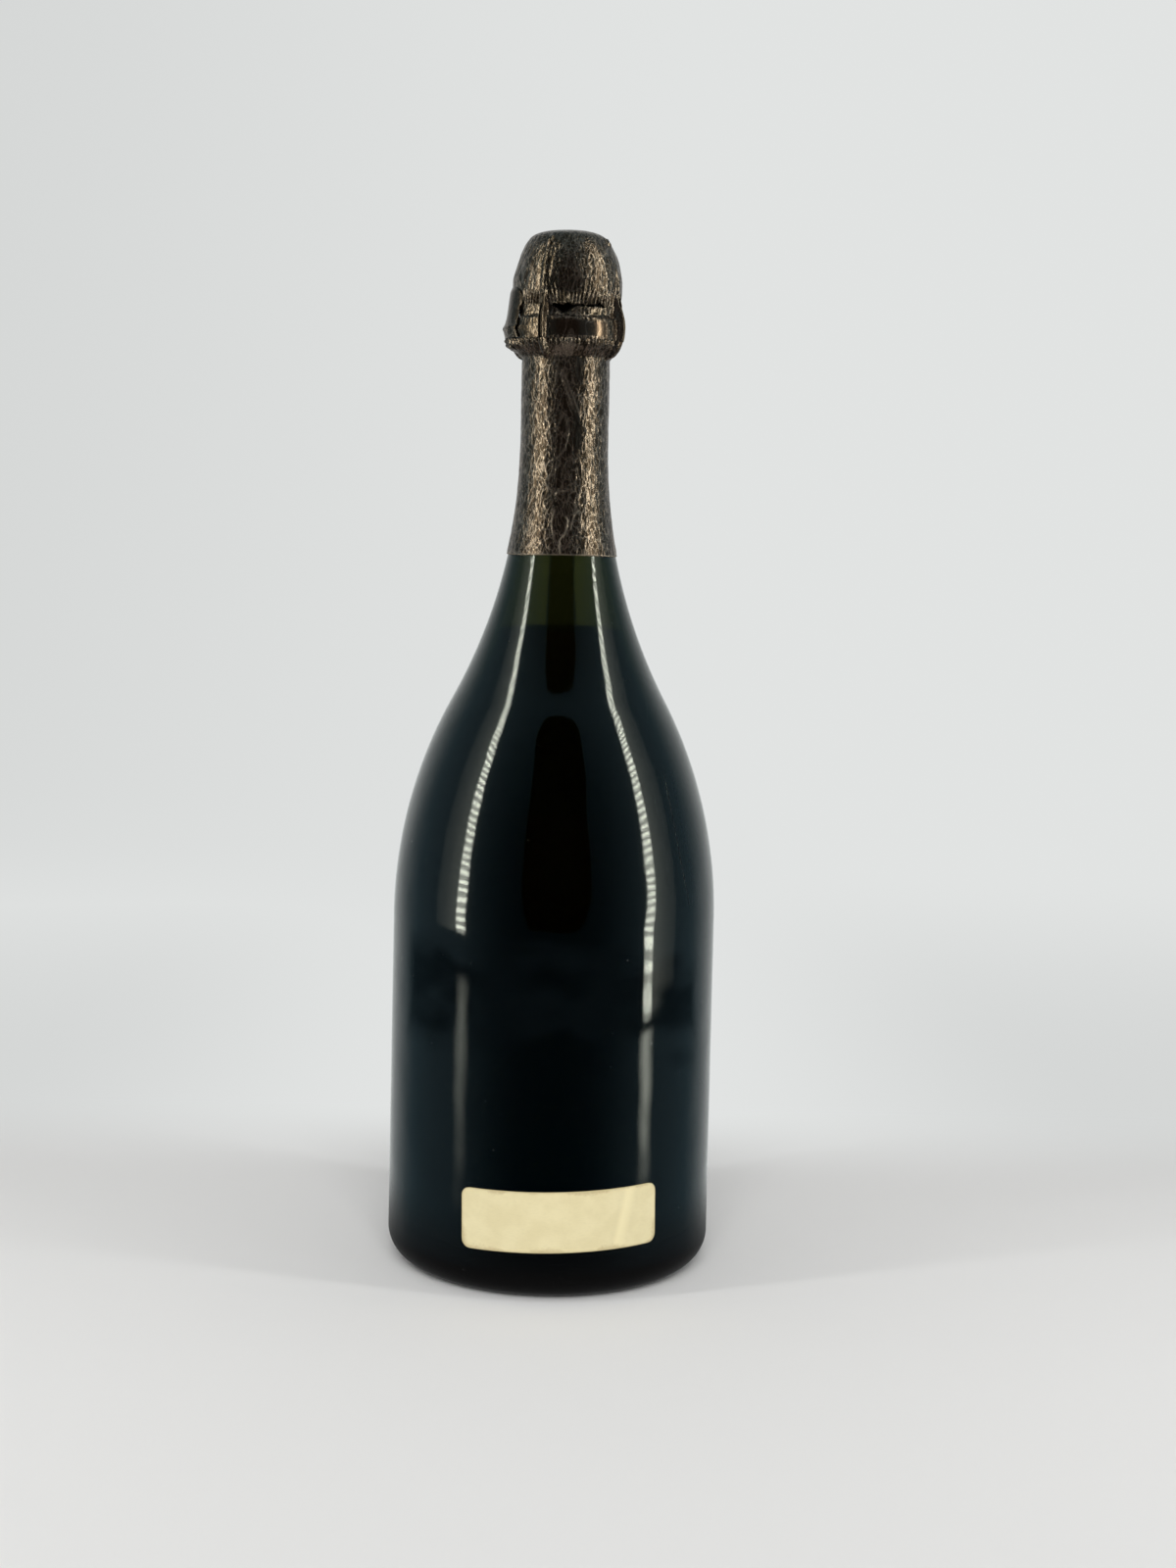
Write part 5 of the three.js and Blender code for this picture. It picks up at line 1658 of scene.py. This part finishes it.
    def make_world(self, scene, stage):
        """A pale background for the camera and through glass, and even soft light for matt surfaces.
        Reflections see a dim room: dark in front and pale behind, with a dark line low on its walls, and
        below that a floor which is dark far off and pale underneath."""
        world = bpy.data.worlds.new("studio")
        scene.world = world
        world.use_nodes = True
        tree = world.node_tree
        tree.nodes.clear()
        towards = axes(tree, tree.nodes.new("ShaderNodeTexCoord").outputs["Generated"])
        back, up = towards["Y"], towards["Z"]
        room = mixed(tree, ranged(tree, back, -1, -0.2), (0.006, 0.03, 0.045), (0.15, 0.25, 0.3))
        room = mixed(tree, ranged(tree, back, 0.35, 1), room, (0.66, 0.69, 0.68))
        level = scaled(tree, towards["X"], 0.004, up)
        beside_line = ranged(tree, off_from(tree, level, -0.2), 0.0, 0.03)
        clear = largest(tree, beside_line, ranged(tree, back, 0.4, 0.6))
        room = mixed(tree, clear, (0.045, 0.085, 0.11), room)
        room = mixed(tree, ranged(tree, up, -0.75, -0.3), (0.012, 0.014, 0.015), room)
        room = mixed(tree, ranged(tree, up, -0.78, -0.9), room, (0.42, 0.42, 0.41))
        pale = put(tree, "ShaderNodeBackground", Color=stage.backdrop).outputs[0]
        dim = put(tree, "ShaderNodeBackground", Color=room).outputs[0]
        soft = put(tree, "ShaderNodeBackground", Color=(1, 1, 1), Strength=stage.ambient).outputs[0]
        path = tree.nodes.new("ShaderNodeLightPath").outputs
        seen = largest(tree, path["Is Camera Ray"], path["Is Transmission Ray"])
        unseen = mixed_shader(tree, path["Is Glossy Ray"], soft, dim)
        put(tree, "ShaderNodeOutputWorld", Surface=mixed_shader(tree, seen, unseen, pale))

    def make_strip(self, stage, name, place, low, haze, lean):
        """An upright strip of small lamps that faces the bottle: an area light for matt surfaces, and a
        card with the lamps, their glow and its mirror image in the floor for reflections."""
        lit_from, foot = 0.1, -0.4
        size, middle = (0.03, STRIP_TOP - lit_from), (lit_from + STRIP_TOP) / 2
        self.make_light(name, size, stage.strip_power, (*place, middle), (0, 0, middle))
        side = Vector((-place[1], place[0])).normalized() * math.copysign(STRIP_HALF_WIDTH, place[0])
        ends = [(place[0] - side.x, place[1] - side.y), (place[0] + side.x, place[1] + side.y)]
        corners = [(*ends[0], foot), (*ends[1], foot), (*ends[1], STRIP_TOP), (*ends[0], STRIP_TOP)]
        material = self.lamp_material(name + "_lamps", low, haze, lean)
        card = self.make_card(name + "_lamps", corners, [range(4)], material, reflected=True)
        across = card.data.uv_layers.new(name="across")
        across.data.foreach_set("uv", (0, 0, 1, 0, 1, 1, 0, 1))

    def make_light(self, name, size, power, place, target):
        """A flat light that faces a target and shows on matt surfaces alone."""
        light = bpy.data.lights.new(name, "AREA")
        light.shape = "RECTANGLE"
        light.size, light.size_y = size
        light.energy = power
        lamp = bpy.data.objects.new(name, light)
        lamp.location = place
        lamp.rotation_euler = (Vector(target) - Vector(place)).to_track_quat("-Z", "Y").to_euler()
        lamp.visible_camera = lamp.visible_glossy = lamp.visible_transmission = False
        bpy.context.scene.collection.objects.link(lamp)

    def lamp_material(self, name, low, haze, lean):
        """Lamps as bright spots in a line up a card, whose foot may lean to one side, a glow that halves
        every few centimetres behind them and soon ends in front, and below the floor a dim blurred band
        whose strength is the haze. The lamps and their glow start at the height low."""
        material, tree, place = new_material(name)
        width = 2 * STRIP_HALF_WIDTH
        share = axes(tree, put(tree, "ShaderNodeUVMap", {"uv_map": "across"}).outputs[0])["X"]
        height = axes(tree, place)["Z"]
        off = product(tree, off_from(tree, share, 0.5), width)
        line = ranged(tree, height, 0.09, 0.04, LAMP_CENTRE, LAMP_CENTRE + lean)
        beside = product(tree, off_from(tree, share, line), width)
        spots = maths(tree, "COSINE", product(tree, height, TURN / LAMP_SPACING))
        lamps = product(tree, ranged(tree, beside, 0.036, 0.018), ranged(tree, spots, -0.5, 0.8, 4, 15))
        fading = product(tree, off, ranged(tree, share, 0.46, 0.54, -110, -17))
        glow = product(tree, maths(tree, "POWER", 2, fading), 1.7)
        lit = ranged(tree, height, low - 4 * MM, low + 4 * MM)
        bright = product(tree, maths(tree, "ADD", lamps, glow), lit)
        band_top = low / 2 - 9 * MM
        band = band_top - 12 * MM
        blurred = product(tree, ranged(tree, off, 0.06, 0.0, 0, haze), ranged(tree, height, band_top, band),
                          ranged(tree, height, -0.12, band))
        strength = maths(tree, "ADD", bright, blurred)
        shine = put(tree, "ShaderNodeEmission", Color=(1, 1.04, 0.88), Strength=strength).outputs[0]
        clear = tree.nodes.new("ShaderNodeBsdfTransparent").outputs[0]
        both = put(tree, "ShaderNodeAddShader", None, shine, clear).outputs[0]
        put(tree, "ShaderNodeOutputMaterial", Surface=both)
        return material

    def make_camera(self, scene, stage):
        """The camera looks along +Y, pitched down, yawed and rolled."""
        pitch, yaw, roll = stage.camera_pitch, stage.camera_yaw, stage.camera_roll
        forward = Vector((math.sin(yaw) * math.cos(pitch), math.cos(yaw) * math.cos(pitch), -math.sin(pitch)))
        right = Vector((math.cos(yaw), -math.sin(yaw), 0))
        up = right.cross(forward)
        right, up = right * math.cos(roll) + up * math.sin(roll), up * math.cos(roll) - right * math.sin(roll)
        data = bpy.data.cameras.new("camera")
        data.lens = stage.lens
        data.sensor_width = 36
        data.clip_start = 0.01
        camera = bpy.data.objects.new("camera", data)
        turn = Matrix((right, up, -forward)).transposed().to_4x4()
        camera.matrix_world = Matrix.Translation((0, -stage.camera_distance, stage.camera_height)) @ turn
        scene.collection.objects.link(camera)
        scene.camera = camera


SETTINGS = {
    "bottle_glass": GlassSettings,
    "bottle_wine": WineSettings,
    "bottle_cork": CorkSettings,
    "bottle_muselet": MuseletSettings,
    "bottle_foil": FoilSettings,
    "bottle_label": LabelSettings,
    "bottle_stage": StageSettings,
}
OPERATORS = (
    BOTTLE_OT_stage,
    BOTTLE_OT_glass,
    BOTTLE_OT_cork,
    BOTTLE_OT_muselet,
    BOTTLE_OT_foil,
    BOTTLE_OT_label,
)


class VIEW3D_PT_bottle(bpy.types.Panel):
    """Lists the operators that build the bottle"""

    bl_label = "Champagne Bottle"
    bl_space_type = "VIEW_3D"
    bl_region_type = "UI"
    bl_category = "Bottle"

    def draw(self, context):
        for operator in OPERATORS:
            self.layout.operator(operator.bl_idname)
        for name, group in SETTINGS.items():
            box = self.layout.box()
            for key in group.__annotations__:
                box.prop(getattr(context.scene, name), key)


def register():
    for name, group in SETTINGS.items():
        bpy.utils.register_class(group)
        setattr(bpy.types.Scene, name, PointerProperty(type=group))
    for operator in OPERATORS:
        bpy.utils.register_class(operator)
    bpy.utils.register_class(VIEW3D_PT_bottle)


def unregister():
    bpy.utils.unregister_class(VIEW3D_PT_bottle)
    for operator in reversed(OPERATORS):
        bpy.utils.unregister_class(operator)
    for name, group in SETTINGS.items():
        delattr(bpy.types.Scene, name)
        bpy.utils.unregister_class(group)


def main():
    register()
    bpy.ops.bottle.stage()
    bpy.ops.bottle.glass()
    bpy.ops.bottle.cork()
    bpy.ops.bottle.muselet()
    bpy.ops.bottle.foil()
    bpy.ops.bottle.label()


if __name__ == "__main__":
    main()
